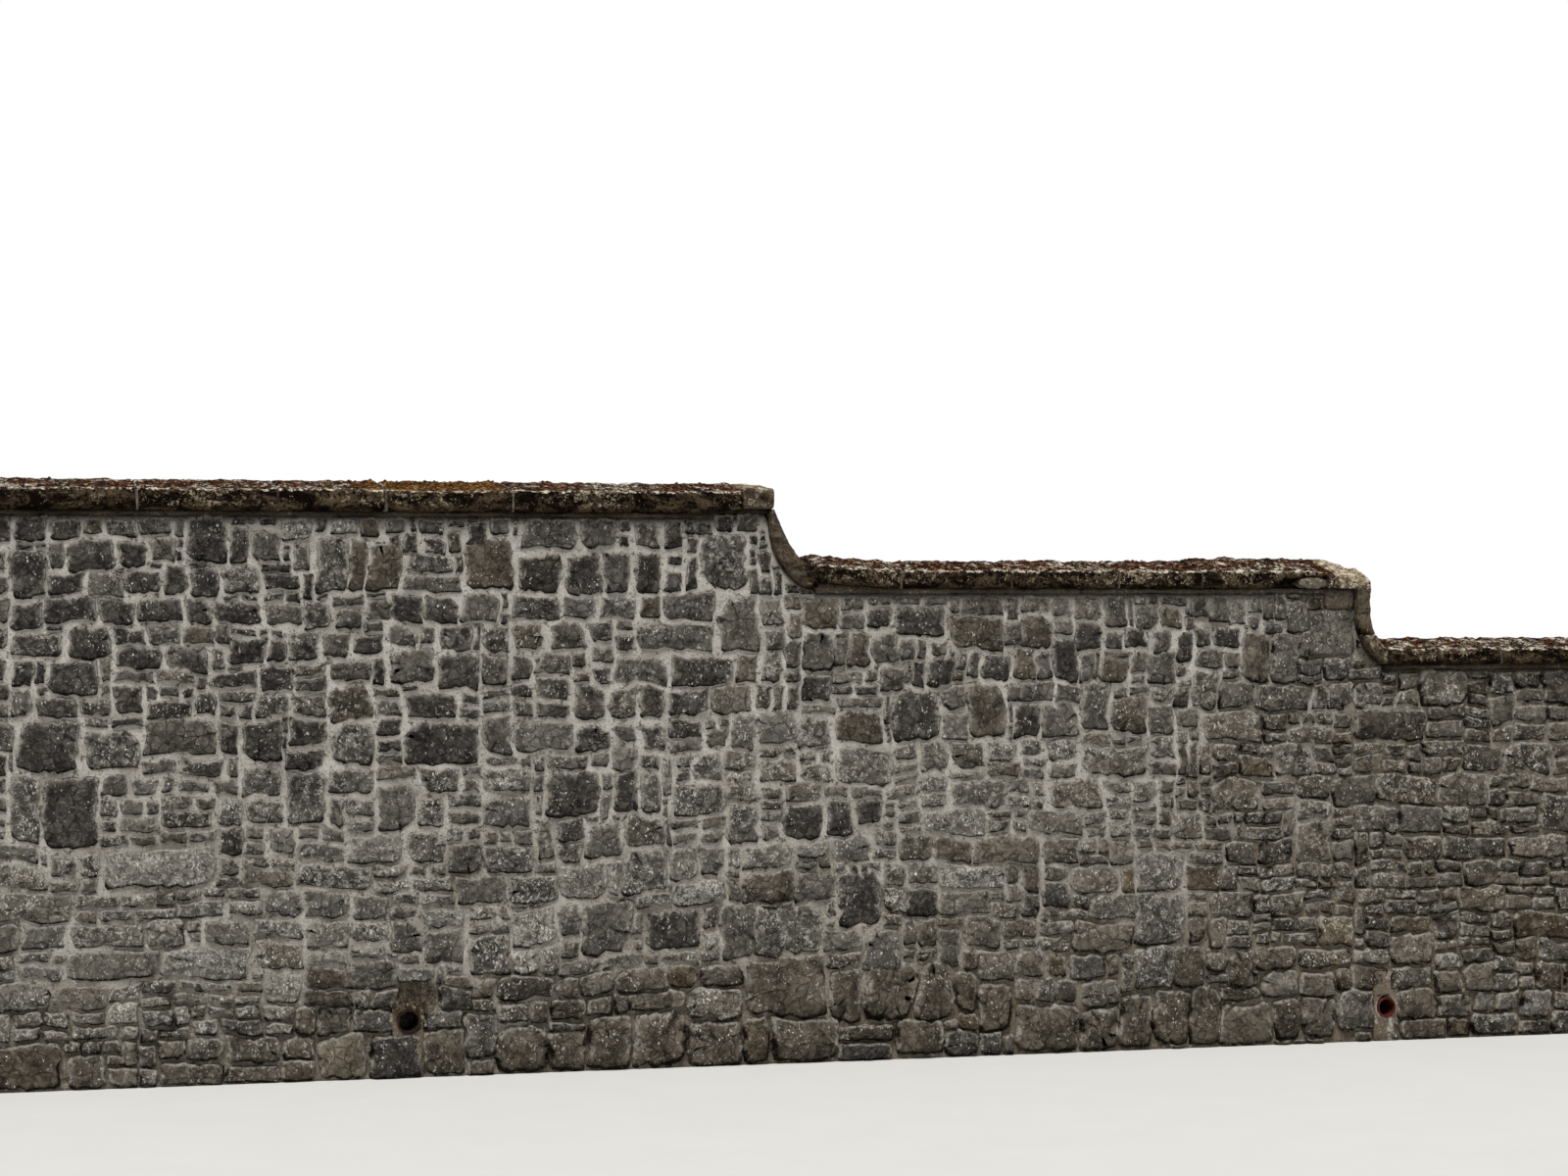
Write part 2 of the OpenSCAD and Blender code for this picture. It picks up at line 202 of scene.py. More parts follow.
class WallCopings(bpy.types.PropertyGroup):
    """Shape of the weathered copings."""

    edge_high: size("High edge", "Upright face of the high coping", 0.085)
    edge_mid: size("Middle edge", "Upright face of the middle coping", 0.072)
    edge_low: size("Low edge", "Upright face of the low coping", 0.066)
    drip: size("Drip chamfer", "Chamfer worn on the lower arrises", 0.008)
    step: size("Step", "Grid of the copings' surface", 0.013)
    crust: size("Crust", "Height of the crust on the tops", 0.009)
    chips: size("Chips", "Depth of the chips along the arrises", 0.012)
    moss_density: strength("Moss density", "Moss cushions in a square metre of moss", 2600.0)
    moss_size: size("Moss size", "Mean width of a moss cushion", 0.010)


class WallColours(bpy.types.PropertyGroup):
    """Colours of the wall's finishes."""

    stone_dark: tint("Dark stone", "Charcoal limestone", (56, 53, 51))
    stone_pale: tint("Pale stone", "Weathered grey limestone", (142, 137, 130))
    lichen: tint("Lichen", "Pale crust on the stones", (196, 192, 183))
    mortar: tint("Mortar", "Clean pointing", (197, 192, 184))
    mortar_dirty: tint("Dirty mortar", "Weathered brown-grey pointing", (118, 110, 98))
    coping_dark: tint("Dark coping", "Coping's blackened face", (20, 13, 8))
    coping_brown: tint("Brown coping", "Coping's bare stone", (92, 78, 60))
    crust: tint("Crust", "Cream crust on the tops", (224, 212, 192))
    moss_rust: tint("Rust moss", "Dry red-brown moss", (78, 38, 22))
    moss_gold: tint("Golden moss", "Golden-brown moss", (122, 82, 36))
    clay: tint("Clay", "Red clay pipe", (88, 38, 28))
    iron: tint("Iron", "Blackened iron pipe", (38, 34, 31))
    floor: tint("Floor", "Plain pale floor", (206, 205, 202))


class WallStage(bpy.types.PropertyGroup):
    """Camera, light and floor."""

    lens: bpy.props.FloatProperty(
        name="Lens", description="Focal length on a 36 mm wide sensor", default=78.75,
        subtype="DISTANCE_CAMERA", unit="CAMERA")
    eye: size("Eye height", "Height of the camera above the wall's foot", 2.08)
    distance: size("Distance", "From the camera to the wall's face", 15.0)
    aim: size("Aim", "Where the view's centre meets the face, past the first step", 0.053)
    turn: turn_by("Turn", "Angle between the view and the wall's normal", 15.35)
    sun: strength("Soft light", "Strength of the wide light from above", 3.4)
    sky: strength("Fill light", "Strength of the even light from all round", 0.38)


def steps(start, stop, count):
    """Even places from start to stop, count steps apart."""
    return [start + (stop - start) * k / count for k in range(count + 1)]


def arc(centre, r, start, stop, count):
    """Points on a circle's lower left, between two angles below its centre's level."""
    return [(centre[0] - r * math.cos(a), centre[1] - r * math.sin(a))
            for a in steps(start, stop, count)]


# Ramp curves, used by the masonry under them too
class RampCurves:
    """Weathered curve and back of each ramp as points in X and Z."""

    def __init__(self, ramps):
        self.face = STEP_1 + ramps.proud
        arris_mid = MID_BASE + bpy.context.scene.wall_copings.edge_mid
        toe_arris = arris_mid + ramps.toe_lift
        self.toe_z = toe_arris + ramps.toe_r
        reach = ramps.sweep_r - ramps.toe_r
        self.sweep = (self.face + ramps.sweep_r,
                      self.toe_z + reach * math.sin(ramps.sweep_angle))
        self.back = (self.face - ramps.top_t + ramps.back_r,
                     self.sweep[1] - ramps.back_drop)
        self.ramps = ramps
        arris_low = LOW_BASE + bpy.context.scene.wall_copings.edge_low
        self.step_2 = TOE_2 - ramps.slab_r * (1 - math.cos(ramps.slab_angle))
        self.slab = (self.step_2 + ramps.slab_r,
                     arris_low + ramps.slab_r * math.sin(ramps.slab_angle))
        self.slab_back_r = self.slab[0] - SLAB_2_X

    def front_1(self, count):
        """Weathered curve of the first ramp, from under the nose to its toe."""
        ramps = self.ramps
        start = math.asin((self.sweep[1] - NOSE_1_BASE) / ramps.sweep_r)
        upper = arc(self.sweep, ramps.sweep_r, start, ramps.sweep_angle, count)
        toe = arc((TOE_1, self.toe_z), ramps.toe_r, ramps.sweep_angle, math.pi / 2, count // 2)
        return upper[:-1] + toe

    def back_1(self, count):
        """Back of the first ramp, down to the corner under its toe."""
        r = self.ramps.back_r
        stop = math.asin((self.back[1] - MID_BASE) / r)
        return [(self.back[0] - r, NOSE_1_BASE), *arc(self.back, r, 0.0, stop, count),
                (TOE_1, MID_BASE)]

    def front_2(self, count):
        """Weathered curve of the second ramp, from its head to its toe."""
        return [(self.step_2, high("ramp_2").z), (self.step_2, self.slab[1] + SLAB_UPRIGHT),
                *arc(self.slab, self.ramps.slab_r, 0.0, self.ramps.slab_angle, count)]

    def back_2(self, count):
        """Back of the second ramp, down to the corner under its toe."""
        stop = math.asin((self.slab[1] - LOW_BASE) / self.slab_back_r)
        return [(SLAB_2_X, high("ramp_2").z), (SLAB_2_X, self.slab[1] + SLAB_UPRIGHT),
                *arc(self.slab, self.slab_back_r, 0.0, stop, count), (TOE_2, LOW_BASE)]

    def masonry_top(self, x):
        """Height of the masonry under the copings and ramps at x."""
        if x < NOSE_1_X:
            return HIGH_TOP
        if x < self.back[0] - self.ramps.back_r:
            return NOSE_1_BASE - HIGH_BASE + HIGH_TOP
        if x < TOE_1:
            return max(MID_BASE, under_arc(self.back, self.ramps.back_r, x))
        if x < SLAB_2_X:
            return MID_TOP
        if x < TOE_2:
            return max(LOW_BASE, under_arc(self.slab, self.slab_back_r, x))
        return LOW_TOP


def under_arc(centre, r, x):
    """Height of a circle's underside at x."""
    across = min(abs(x - centre[0]), r)
    return centre[1] - math.sqrt(r * r - across * across)


def clamp(value):
    """The value, held between 0 and 1."""
    return min(max(value, 0.0), 1.0)


def smooth(value, start, stop):
    """0 before start, 1 after stop, and a soft rise between them."""
    t = clamp((value - start) / (stop - start))
    return t * t * (3 - 2 * t)


def lump(x, y, z, scale, seed=0.0):
    """Soft noise from -1 to 1, in lumps of about 1 / scale metres."""
    return noise.noise(Vector((x * scale + seed, y * scale - seed, z * scale + 2 * seed)))


def resample(points, count):
    """The same line through count points, evenly spaced."""
    line = np.array(points, float)
    run = np.concatenate([[0], np.cumsum(np.linalg.norm(np.diff(line, axis=0), axis=1))])
    at = np.linspace(0, run[-1], count)
    return np.stack([np.interp(at, run, line[:, k]) for k in range(line.shape[1])], 1)


# Meshes and pieces

def smoothed(mesh, looks=None):
    """The mesh shaded smooth, with a colour attribute for the finish if looks are given."""
    if looks:
        layer = mesh.attributes.new("look", "FLOAT_COLOR", "POINT")
        layer.data.foreach_set("color", np.array(looks, np.float32).ravel())
    mesh.polygons.foreach_set("use_smooth", [True] * len(mesh.polygons))
    mesh.update()
    return mesh


def new_mesh(name, points, faces, looks=None):
    """A smooth mesh of points and faces."""
    mesh = bpy.data.meshes.new(name)
    mesh.from_pydata(points, [], faces)
    return smoothed(mesh, looks)


def turned_out(mesh, reach=0.0):
    """The mesh with its points within reach joined and its normals outward."""
    work = bmesh.new()
    work.from_mesh(mesh)
    if reach:
        bmesh.ops.remove_doubles(work, verts=work.verts, dist=reach)
    bmesh.ops.recalc_face_normals(work, faces=work.faces)
    work.to_mesh(mesh)
    work.free()
    return mesh


def new_object(name, data):
    """A new object in the scene."""
    made = bpy.data.objects.new(name, data)
    bpy.context.scene.collection.objects.link(made)
    return made


def add_piece(name, mesh, finish, nodes=()):
    """Puts a finished mesh in the scene, riding on the wall, in place of its nodes."""
    mesh.name = name
    mesh.materials.clear()
    mesh.materials.append(finish)
    piece = new_object(name, mesh)
    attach(piece, "root")
    if nodes:
        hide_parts(*nodes)
    return piece


def bridge(first, second, count):
    """Faces between two rings of count points, which start at first and second."""
    return [(first + j, first + (j + 1) % count, second + (j + 1) % count, second + j)
            for j in range(count)]


def fan(first, tip, count):
    """Faces from a ring of count points to one point."""
    return [(first + j, first + (j + 1) % count, tip) for j in range(count)]


def loft(stations):
    """Closed surface through closed outlines of one length, with its ends filled."""
    count = len(stations[0])
    points = [tuple(p) for station in stations for p in station]
    faces = []
    for i in range(len(stations) - 1):
        faces += bridge(i * count, (i + 1) * count, count)
    for i in (0, len(stations) - 1):
        outline = np.array(stations[i], float)
        middle = outline.mean(0)
        ring = i * count
        for inset in (0.3, 0.7):
            start = len(points)
            points.extend(tuple(p) for p in outline + (middle - outline) * inset)
            faces += bridge(ring, start, count)
            ring = start
        points.append(tuple(middle))
        faces += fan(ring, len(points) - 1, count)
    return turned_out(new_mesh("loft", points, faces), JOIN_REACH)


def reshaped(stations, move):
    """The same outlines with each point moved by move(x, y, z)."""
    return [[move(*p) for p in station] for station in stations]


def weather(mesh, rough, chips, seed, look, crust=0.0):
    """Roughens a mesh: lumps all over, a crust on what faces up and chips on the arrises.

    look(point, normal) gives each point's finish as four numbers from 0 to 1.
    """
    work = bmesh.new()
    work.from_mesh(mesh)
    work.normal_update()
    moved = []
    looks = []
    for vert in work.verts:
        p = vert.co
        n = vert.normal
        sharp = min(vert.calc_shell_factor() - 1.0, 0.6)
        up = smooth(n.z, 0.35, 0.85)
        step = rough * (lump(p.x, p.y, p.z, 22, seed) + 0.6 * lump(p.x, p.y, p.z, 60, seed))
        knob = 0.3 + 1.2 * lump(p.x, p.y, p.z, 20, seed + 5) + 0.8 * lump(p.x, p.y, p.z, 55, seed)
        step += up * crust * max(knob, 0.0)
        bite = 0.35 + lump(p.x, p.y, p.z, 13, seed + 9) + 0.5 * lump(p.x, p.y, p.z, 45, seed)
        step -= max(sharp, 0.0) * chips * 2.2 * max(bite, 0.12)
        moved.append(p + n * step)
        looks.append(look(p, n))
    for vert, place in zip(work.verts, moved):
        vert.co = place
    work.to_mesh(mesh)
    work.free()
    return smoothed(mesh, looks)


# Finishes

class Nodes:
    """A node tree, written short: each call adds a node and gives its output."""

    def __init__(self, tree):
        self.tree = tree
        self.tree.nodes.clear()

    def node(self, kind, sockets=None, **settings):
        """A new node; sockets gives the values or links of its inputs."""
        made = self.tree.nodes.new(kind)
        for key, value in settings.items():
            setattr(made, key, value)
        for key, value in (sockets or {}).items():
            if isinstance(value, bpy.types.NodeSocket):
                self.tree.links.new(value, made.inputs[key])
            else:
                made.inputs[key].default_value = value
        return made

    def math(self, operation, first, second=0.0, held=False):
        """Joins two values; held keeps the result between 0 and 1."""
        return self.node("ShaderNodeMath", {0: first, 1: second}, operation=operation,
                         use_clamp=held).outputs[0]

    def times(self, first, second):
        """One value times another."""
        return self.math("MULTIPLY", first, second)

    def plus(self, first, second, held=False):
        """One value plus another."""
        return self.math("ADD", first, second, held)

    def vector(self, operation, *values, output=0):
        """Joins vectors by an operation."""
        made = self.node("ShaderNodeVectorMath", dict(enumerate(values)), operation=operation)
        return made.outputs[output]

    def seen(self):
        """1 for what the camera sees, straight or through gloss and glass."""
        path = self.node("ShaderNodeLightPath").outputs
        either = self.math("MAXIMUM", path["Is Camera Ray"], path["Is Glossy Ray"])
        return self.math("MAXIMUM", either, path["Is Transmission Ray"])


class Finish(Nodes):
    """A material's nodes, in the coordinates of its object."""

    def __init__(self, name):
        self.material = bpy.data.materials.new(name)
        self.material.use_nodes = True
        super().__init__(self.material.node_tree)
        self.place = self.node("ShaderNodeTexCoord").outputs["Object"]

    def mix(self, share, first, second, blend="MIX"):
        """The first colour with a share of the second."""
        made = self.node("ShaderNodeMix", {0: share, 6: first, 7: second},
                         data_type="RGBA", blend_type=blend)
        return made.outputs[2]

    def noise(self, scale, detail=5.0, rough=0.6, twist=0.0, at=None):
        """Soft noise from 0 to 1, in lumps of about 1 / scale metres."""
        made = self.node("ShaderNodeTexNoise", {
            "Vector": at or self.place, "Scale": scale, "Detail": detail,
            "Roughness": rough, "Distortion": twist})
        return made.outputs[0]

    def facets(self, scale, bend):
        """Flat cells tilted at random, as on split rock: height, tone and nearness to edges; the
        tone partly paints shading onto the tilted cells.
        """
        wave = self.node("ShaderNodeTexNoise", {
            "Vector": self.place, "Scale": scale * 0.8, "Detail": 5.0})
        bent = self.vector("MULTIPLY_ADD", wave.outputs["Color"], (bend, bend, bend), self.place)
        where = {"Vector": bent, "Scale": scale}
        cell = self.node("ShaderNodeTexVoronoi", where).outputs
        away = self.vector("SUBTRACT", bent, cell["Position"])
        lean = self.vector("SUBTRACT", cell["Color"], (0.5, 0.5, 0.5))
        height = self.vector("DOT_PRODUCT", away, lean, output="Value")
        edge = self.node("ShaderNodeTexVoronoi", where, feature="DISTANCE_TO_EDGE")
        return height, cell["Color"], edge.outputs["Distance"]

    def band(self, value, start, stop, low_out=0.0, high_out=1.0):
        """A soft rise from low_out to high_out, while the value goes from start to stop."""
        made = self.node("ShaderNodeMapRange", {
            "Value": value, "From Min": start, "From Max": stop, "To Min": low_out,
            "To Max": high_out}, interpolation_type="SMOOTHSTEP")
        return made.outputs["Result"]

    def stain(self, colour, tone, value, *ends):
        """Lays a tone over the colour, as far as the value lies in a band."""
        return self.mix(self.band(value, *ends), colour, linear(*tone))

    def looks(self):
        """The four shares of the piece's look attribute."""
        made = self.node("ShaderNodeAttribute", attribute_name="look").outputs
        parts = self.node("ShaderNodeSeparateColor", {0: made["Color"]})
        return [*parts.outputs[:3], made["Alpha"]]

    def stretch(self, x, y, z):
        """The place, scaled along each axis."""
        made = self.node("ShaderNodeMapping", {"Vector": self.place, "Scale": (x, y, z)})
        return made.outputs[0]

    def bump(self, height, gain, distance, under=None):
        """Relief from a height, distance deep in metres, over any relief under it."""
        sockets = {"Strength": gain, "Distance": distance, "Height": height}
        if under:
            sockets["Normal"] = under
        return self.node("ShaderNodeBump", sockets).outputs[0]

    def done(self, colour, roughness, normal):
        """Closes the finish and gives its material."""
        shader = self.node("ShaderNodeBsdfPrincipled", {
            "Base Color": colour, "Roughness": roughness, "Normal": normal,
            "Specular IOR Level": 0.02})
        self.node("ShaderNodeOutputMaterial", {"Surface": shader.outputs[0]})
        return self.material


def made_before(name):
    """A finish of that name, if another step has made it."""
    return bpy.data.materials.get(name)


def limestone(colours):
    """Rubble limestone. Look: tone, warmth, rim (painted shade to smeared with mortar), lichen."""
    if made_before("rubble_limestone"):
        return made_before("rubble_limestone")
    f = Finish("rubble_limestone")
    tone, warmth, rim, lichen = f.looks()
    patches = f.noise(7, 5, 0.62)
    chunks = f.noise(24, 6, 0.68, 0.5)
    split, facet, edge = f.facets(21, 0.040)
    small_split, small_facet, _ = f.facets(58, 0.016)
    # Tone in patches and chunks, and a per-facet tone that is partly the stone's own and partly
    # painted shading of the tilted facets
    for value, *ends in ((patches, 0.34, 0.66, -0.12, 0.14), (chunks, 0.36, 0.64, -0.14, 0.16),
                         (facet, 0.2, 0.8, -0.09, 0.10), (small_facet, 0.2, 0.8, -0.07, 0.09)):
        tone = f.plus(tone, f.band(value, *ends), True)
    colour = f.mix(tone, colours.stone_dark, colours.stone_pale)
    brown = f.mix(tone, linear(56, 48, 39), linear(140, 126, 104))
    colour = f.mix(warmth, colour, brown)
    # Painted shade in pits and in cracks along the facets' edges, and pale scuffs between them
    pits = f.noise(44, 8, 0.74)
    colour = f.stain(colour, (18, 15, 12), pits, 0.33, 0.43, 0.8, 0.0)
    crack = f.times(f.band(edge, 0.03, 0.09, 1.0, 0.0), f.band(chunks, 0.44, 0.54))
    colour = f.mix(f.times(crack, 0.6), colour, linear(16, 13, 10))
    colour = f.stain(colour, (160, 154, 144), pits, 0.58, 0.68, 0.0, 0.5)
    # Crust of pale lichen in ragged patches, then fine white specks in clusters
    crust = f.plus(f.noise(30, 9, 0.78), f.times(lichen, 0.12))
    crust = f.plus(crust, f.band(rim, 0.5, 0.75, 0.0, 0.05))
    crust = f.band(crust, 0.60, 0.67)
    grain = f.band(f.noise(130, 4, 0.75), 0.42, 0.54)
    crust = f.times(crust, f.times(grain, 0.8))
    colour = f.mix(crust, colour, colours.lichen)
    drops = f.noise(105, 3, 0.62, 0.0, f.stretch(1.0, 1.0, 0.6))
    specks = f.plus(drops, f.times(lichen, 0.05))
    specks = f.plus(specks, f.band(f.noise(11, 4, 0.6), 0.42, 0.62, -0.07, 0.03))
    colour = f.stain(colour, (226, 223, 216), specks, 0.65, 0.68, 0.0, 0.9)
    # Above the middle of the range the rim is smeared with mortar, below it is painted dark as
    # shade
    ragged = f.noise(48, 6, 0.72)
    smear = f.times(f.band(rim, 0.5, 0.85), f.band(ragged, 0.40, 0.54))
    colour = f.mix(f.times(smear, 0.85), colour, linear(166, 160, 149))
    gap = f.times(f.band(rim, 0.5, 0.2), f.band(ragged, 0.34, 0.50))
    colour = f.mix(f.times(gap, 0.92), colour, linear(15, 12, 9))
    relief = f.plus(f.noise(36, 8, 0.7), f.times(pits, 0.6))
    normal = f.bump(split, 1.0, 0.9)
    normal = f.bump(small_split, 1.0, 0.7, normal)
    normal = f.bump(relief, 1.0, 0.016, normal)
    return f.done(colour, f.band(patches, 0.3, 0.7, 0.82, 0.95), normal)


def pointing(colours):
    """Pointing mortar. Look: dirt, brownness, damp stain and painted shade under the copings,
    erosion.
    """
    if made_before("pointing_mortar"):
        return made_before("pointing_mortar")
    f = Finish("pointing_mortar")
    dirt, brown, damp_and_shade, eaten = f.looks()
    stains = f.noise(5.5, 7, 0.62)
    dirt = f.plus(dirt, f.band(stains, 0.35, 0.7, -0.28, 0.34), True)
    colour = f.mix(dirt, colours.mortar, colours.mortar_dirty)
    colour = f.mix(f.times(brown, 0.65), colour, linear(108, 93, 74))
    mottle = f.noise(30, 8, 0.74)
    earth = f.mix(f.band(mottle, 0.42, 0.56), linear(28, 21, 15), linear(90, 74, 55))
    colour = f.mix(f.times(eaten, 0.9), colour, earth)
    colour = f.stain(colour, (58, 49, 39), mottle, 0.37, 0.46, 0.75, 0.0)
    colour = f.stain(colour, (212, 206, 195), mottle, 0.56, 0.68, 0.0, 0.6)
    grit = f.noise(120, 5, 0.75)
    colour = f.stain(colour, (44, 37, 30), grit, 0.38, 0.45, 0.6, 0.0)
    colour = f.stain(colour, (226, 221, 212), grit, 0.58, 0.66, 0.0, 0.5)
    # Damp stain and painted shade under the copings, near black
    colour = f.mix(f.times(damp_and_shade, 0.8), colour, linear(34, 26, 18))
    relief = f.plus(f.noise(50, 7, 0.7), f.times(grit, 0.4))
    return f.done(colour, 0.93, f.bump(relief, 0.9, 0.012))


def coping_finish(colours):
    """Weathered coping. Look: crust on the top, moss, pale lichen, bareness."""
    if made_before("weathered_coping"):
        return made_before("weathered_coping")
    f = Finish("weathered_coping")
    crust, moss, pale, bare = f.looks()
    flat = f.stretch(0.45, 0.7, 1.0)
    blotch = f.noise(16, 8, 0.72, 0.6, flat)
    colour = f.mix(f.band(blotch, 0.44, 0.64), colours.coping_dark,
                   colours.coping_brown)
    stone = f.mix(f.band(blotch, 0.36, 0.62), linear(72, 62, 50), linear(124, 112, 95))
    colour = f.mix(f.times(bare, 0.9), colour, stone)
    # Painted shade in the holes: near-black pits, fewer where the stone is bare
    holes = f.noise(64, 7, 0.78)
    worn = f.times(f.band(holes, 0.42, 0.50, 0.95, 0.0),
                  f.math("SUBTRACT", 1.0, f.times(bare, 0.45)))
    colour = f.mix(worn, colour, linear(7, 4, 3))
    # Lichen patches on the upright faces
    patch = f.plus(f.noise(46, 9, 0.82), f.times(pale, 0.13))
    grain = f.band(f.noise(125, 4, 0.75), 0.41, 0.53)
    patch = f.times(f.band(patch, 0.62, 0.69), grain)
    colour = f.mix(patch, colour, linear(180, 165, 140))
    # Cream crust where rain lands, in knobs with dark gaps between them that are partly brown
    # stone and partly painted shade
    across = f.stretch(0.75, 0.45, 1.0)
    lumps = f.noise(27, 8, 0.76, 0.0, across)
    cover = f.plus(crust, f.band(lumps, 0.38, 0.62, -0.95, 0.15), True)
    hollow = f.mix(bare, linear(54, 38, 25), linear(142, 122, 90))
    cream = f.mix(f.band(f.noise(60, 6, 0.78, 0.0, across), 0.46, 0.56), hollow,
                  colours.crust)
    colour = f.mix(f.band(cover, 0.30, 0.42), colour, cream)
    # Thin moss over it, golden where the look's last share says so
    streak = f.noise(17, 9, 0.78, 0.4, f.stretch(0.6, 0.6, 1.0))
    film = f.plus(moss, f.band(streak, 0.40, 0.56, -0.55, 0.50))
    film = f.times(film, f.band(moss, 0.02, 0.15))
    green = f.mix(f.band(bare, 0.3, 0.7), colours.moss_rust, colours.moss_gold)
    # Painted shadow between the moss tufts, and painted light on their tips
    tufts = f.noise(72, 5, 0.75, 0.0, across)
    green = f.mix(f.band(tufts, 0.45, 0.56, 0.95, 0.0), green, linear(16, 7, 4))
    green = f.mix(f.band(tufts, 0.56, 0.62, 0.0, 0.75), green, linear(198, 160, 120))
    colour = f.mix(f.band(film, 0.22, 0.34, 0.0, 0.97), colour, green)
    relief = f.plus(lumps, f.times(holes, 0.6))
    return f.done(colour, 0.95, f.bump(relief, 1.0, 0.018))


def moss_finish(colours):
    """Moss cushions, rust to gold along the wall."""
    f = Finish("moss_cushion")
    along = f.node("ShaderNodeSeparateXYZ", {0: f.place})
    away = f.math("ABSOLUTE", f.math("SUBTRACT", along.outputs[0], STEP_1 - GOLD_FROM_STEP))
    gold = f.band(away, 0.25, 0.40, 1.0, 0.0)
    colour = f.mix(gold, colours.moss_rust, colours.moss_gold)
    tips = f.noise(90, 4, 0.7, 0.0, f.stretch(1.0, 0.5, 1.0))
    # Painted shadow between the cushions' tips, and painted light on the tips
    colour = f.stain(colour, (18, 9, 5), tips, 0.44, 0.55, 0.92, 0.0)
    colour = f.stain(colour, (160, 116, 70), tips, 0.58, 0.66, 0.0, 0.45)
    return f.done(colour, 0.97, f.bump(tips, 0.9, 0.004))


def clay_finish(colours):
    """Red clay pipe with lime and soot."""
    f = Finish("fired_clay")
    soot = f.noise(30, 6, 0.7)
    colour = f.mix(f.band(soot, 0.42, 0.66), colours.clay, linear(58, 40, 32))
    lime = f.band(f.noise(65, 5, 0.7), 0.6, 0.7, 0.0, 0.7)
    colour = f.mix(lime, colour, linear(182, 172, 158))
    return f.done(colour, 0.85, f.bump(soot, 0.6, 0.004))


def iron_finish(colours):
    """Blackened iron pipe with rust."""
    f = Finish("rusted_iron")
    scale = f.noise(48, 7, 0.7)
    colour = f.mix(f.band(scale, 0.5, 0.68, 0.0, 0.8), colours.iron,
                   linear(84, 52, 34))
    return f.done(colour, 0.8, f.bump(scale, 0.7, 0.004))


# Rubble

class Zone(NamedTuple):
    """Part of the face with stones of one character: lengths in metres, the rest shares."""

    x: tuple
    z: tuple
    stone: tuple
    joint: float
    proud: float
    worn: float
    tone: float
    warmth: float
    lichen: float


FAR = 99.0
# The first zone that holds a point counts
ZONES = (
    # Foot: large boulders from the middle of the high bay to the second step
    Zone((-2.9, 2.1), (0.0, 0.20), (0.26, 0.20), 0.008, 0.016, 0.30, 0.34, 0.62, 0.15),
    Zone((-2.9, 2.1), (0.20, 0.44), (0.20, 0.13), 0.009, 0.013, 0.24, 0.36, 0.50, 0.30),
    Zone((-FAR, FAR), (0.0, 0.20), (0.19, 0.105), 0.010, 0.010, 0.22, 0.34, 0.40, 0.35),
    # High bay, from the coping down
    Zone((-FAR, -0.62), (2.05, FAR), (0.125, 0.125), 0.016, 0.008, 0.13, 0.16, 0.14, 0.30),
    Zone((-FAR, -0.75), (1.94, 2.05), (0.18, 0.10), 0.015, 0.008, 0.11, 0.18, 0.08, 0.30),
    Zone((-FAR, -1.1), (1.37, 1.94), (0.17, 0.105), 0.015, 0.009, 0.13, 0.28, 0.16, 0.40),
    Zone((-FAR, -1.1), (0.95, 1.37), (0.18, 0.085), 0.014, 0.008, 0.13, 0.40, 0.14, 0.60),
    Zone((-FAR, -2.3), (0.20, 0.95), (0.20, 0.080), 0.013, 0.007, 0.13, 0.48, 0.18, 0.75),
    Zone((-2.3, -0.3), (0.44, 0.95), (0.155, 0.100), 0.013, 0.009, 0.15, 0.53, 0.14, 0.80),
    # Middle bay
    Zone((-1.1, 1.25), (1.37, FAR), (0.125, 0.115), 0.013, 0.008, 0.14, 0.45, 0.28, 0.50),
    Zone((-1.1, 1.0), (0.95, 1.37), (0.14, 0.078), 0.014, 0.008, 0.14, 0.50, 0.26, 0.70),
    Zone((-0.3, 1.4), (0.44, 0.95), (0.17, 0.110), 0.009, 0.010, 0.17, 0.44, 0.40, 0.55),
    Zone((1.48, 2.02), (1.60, FAR), (0.14, 0.115), 0.007, 0.008, 0.10, 0.46, 0.25, 0.30),
    Zone((1.20, 2.02), (1.45, FAR), (0.13, 0.105), 0.012, 0.008, 0.13, 0.38, 0.25, 0.40),
    # Low bay and what leads to it
    Zone((1.0, 2.1), (0.44, 1.45), (0.125, 0.080), 0.009, 0.008, 0.15, 0.38, 0.42, 0.50),
    Zone((2.0, FAR), (0.44, FAR), (0.135, 0.078), 0.008, 0.008, 0.14, 0.34, 0.42, 0.45),
    Zone((-FAR, FAR), (0.0, FAR), (0.15, 0.09), 0.010, 0.008, 0.16, 0.36, 0.38, 0.45),
)
# Bed joints that run through, as heights above the foot
COURSES = (0.20, 0.33, 0.44, 0.58, 0.70, 0.83, 0.95, 1.08, 1.22, 1.37, 1.53, 1.67, 1.81,
           1.94, 2.05, 2.23)


class Block:
    """One stone before it is rounded: its cells of the layout and its character."""

    def __init__(self, cells, zone, tone, warmth, lichen, box=None):
        self.cells = list(cells)
        self.zone = zone
        self.tone = tone
        self.warmth = warmth
        self.lichen = lichen
        self.box = box
        self.placed = box is not None
        self.worn = zone.worn


def zone_at(x, z):
    """The zone at a point of the face."""
    for zone in ZONES:
        if zone.x[0] <= x < zone.x[1] and zone.z[0] <= z < zone.z[1]:
            return zone
    return ZONES[-1]


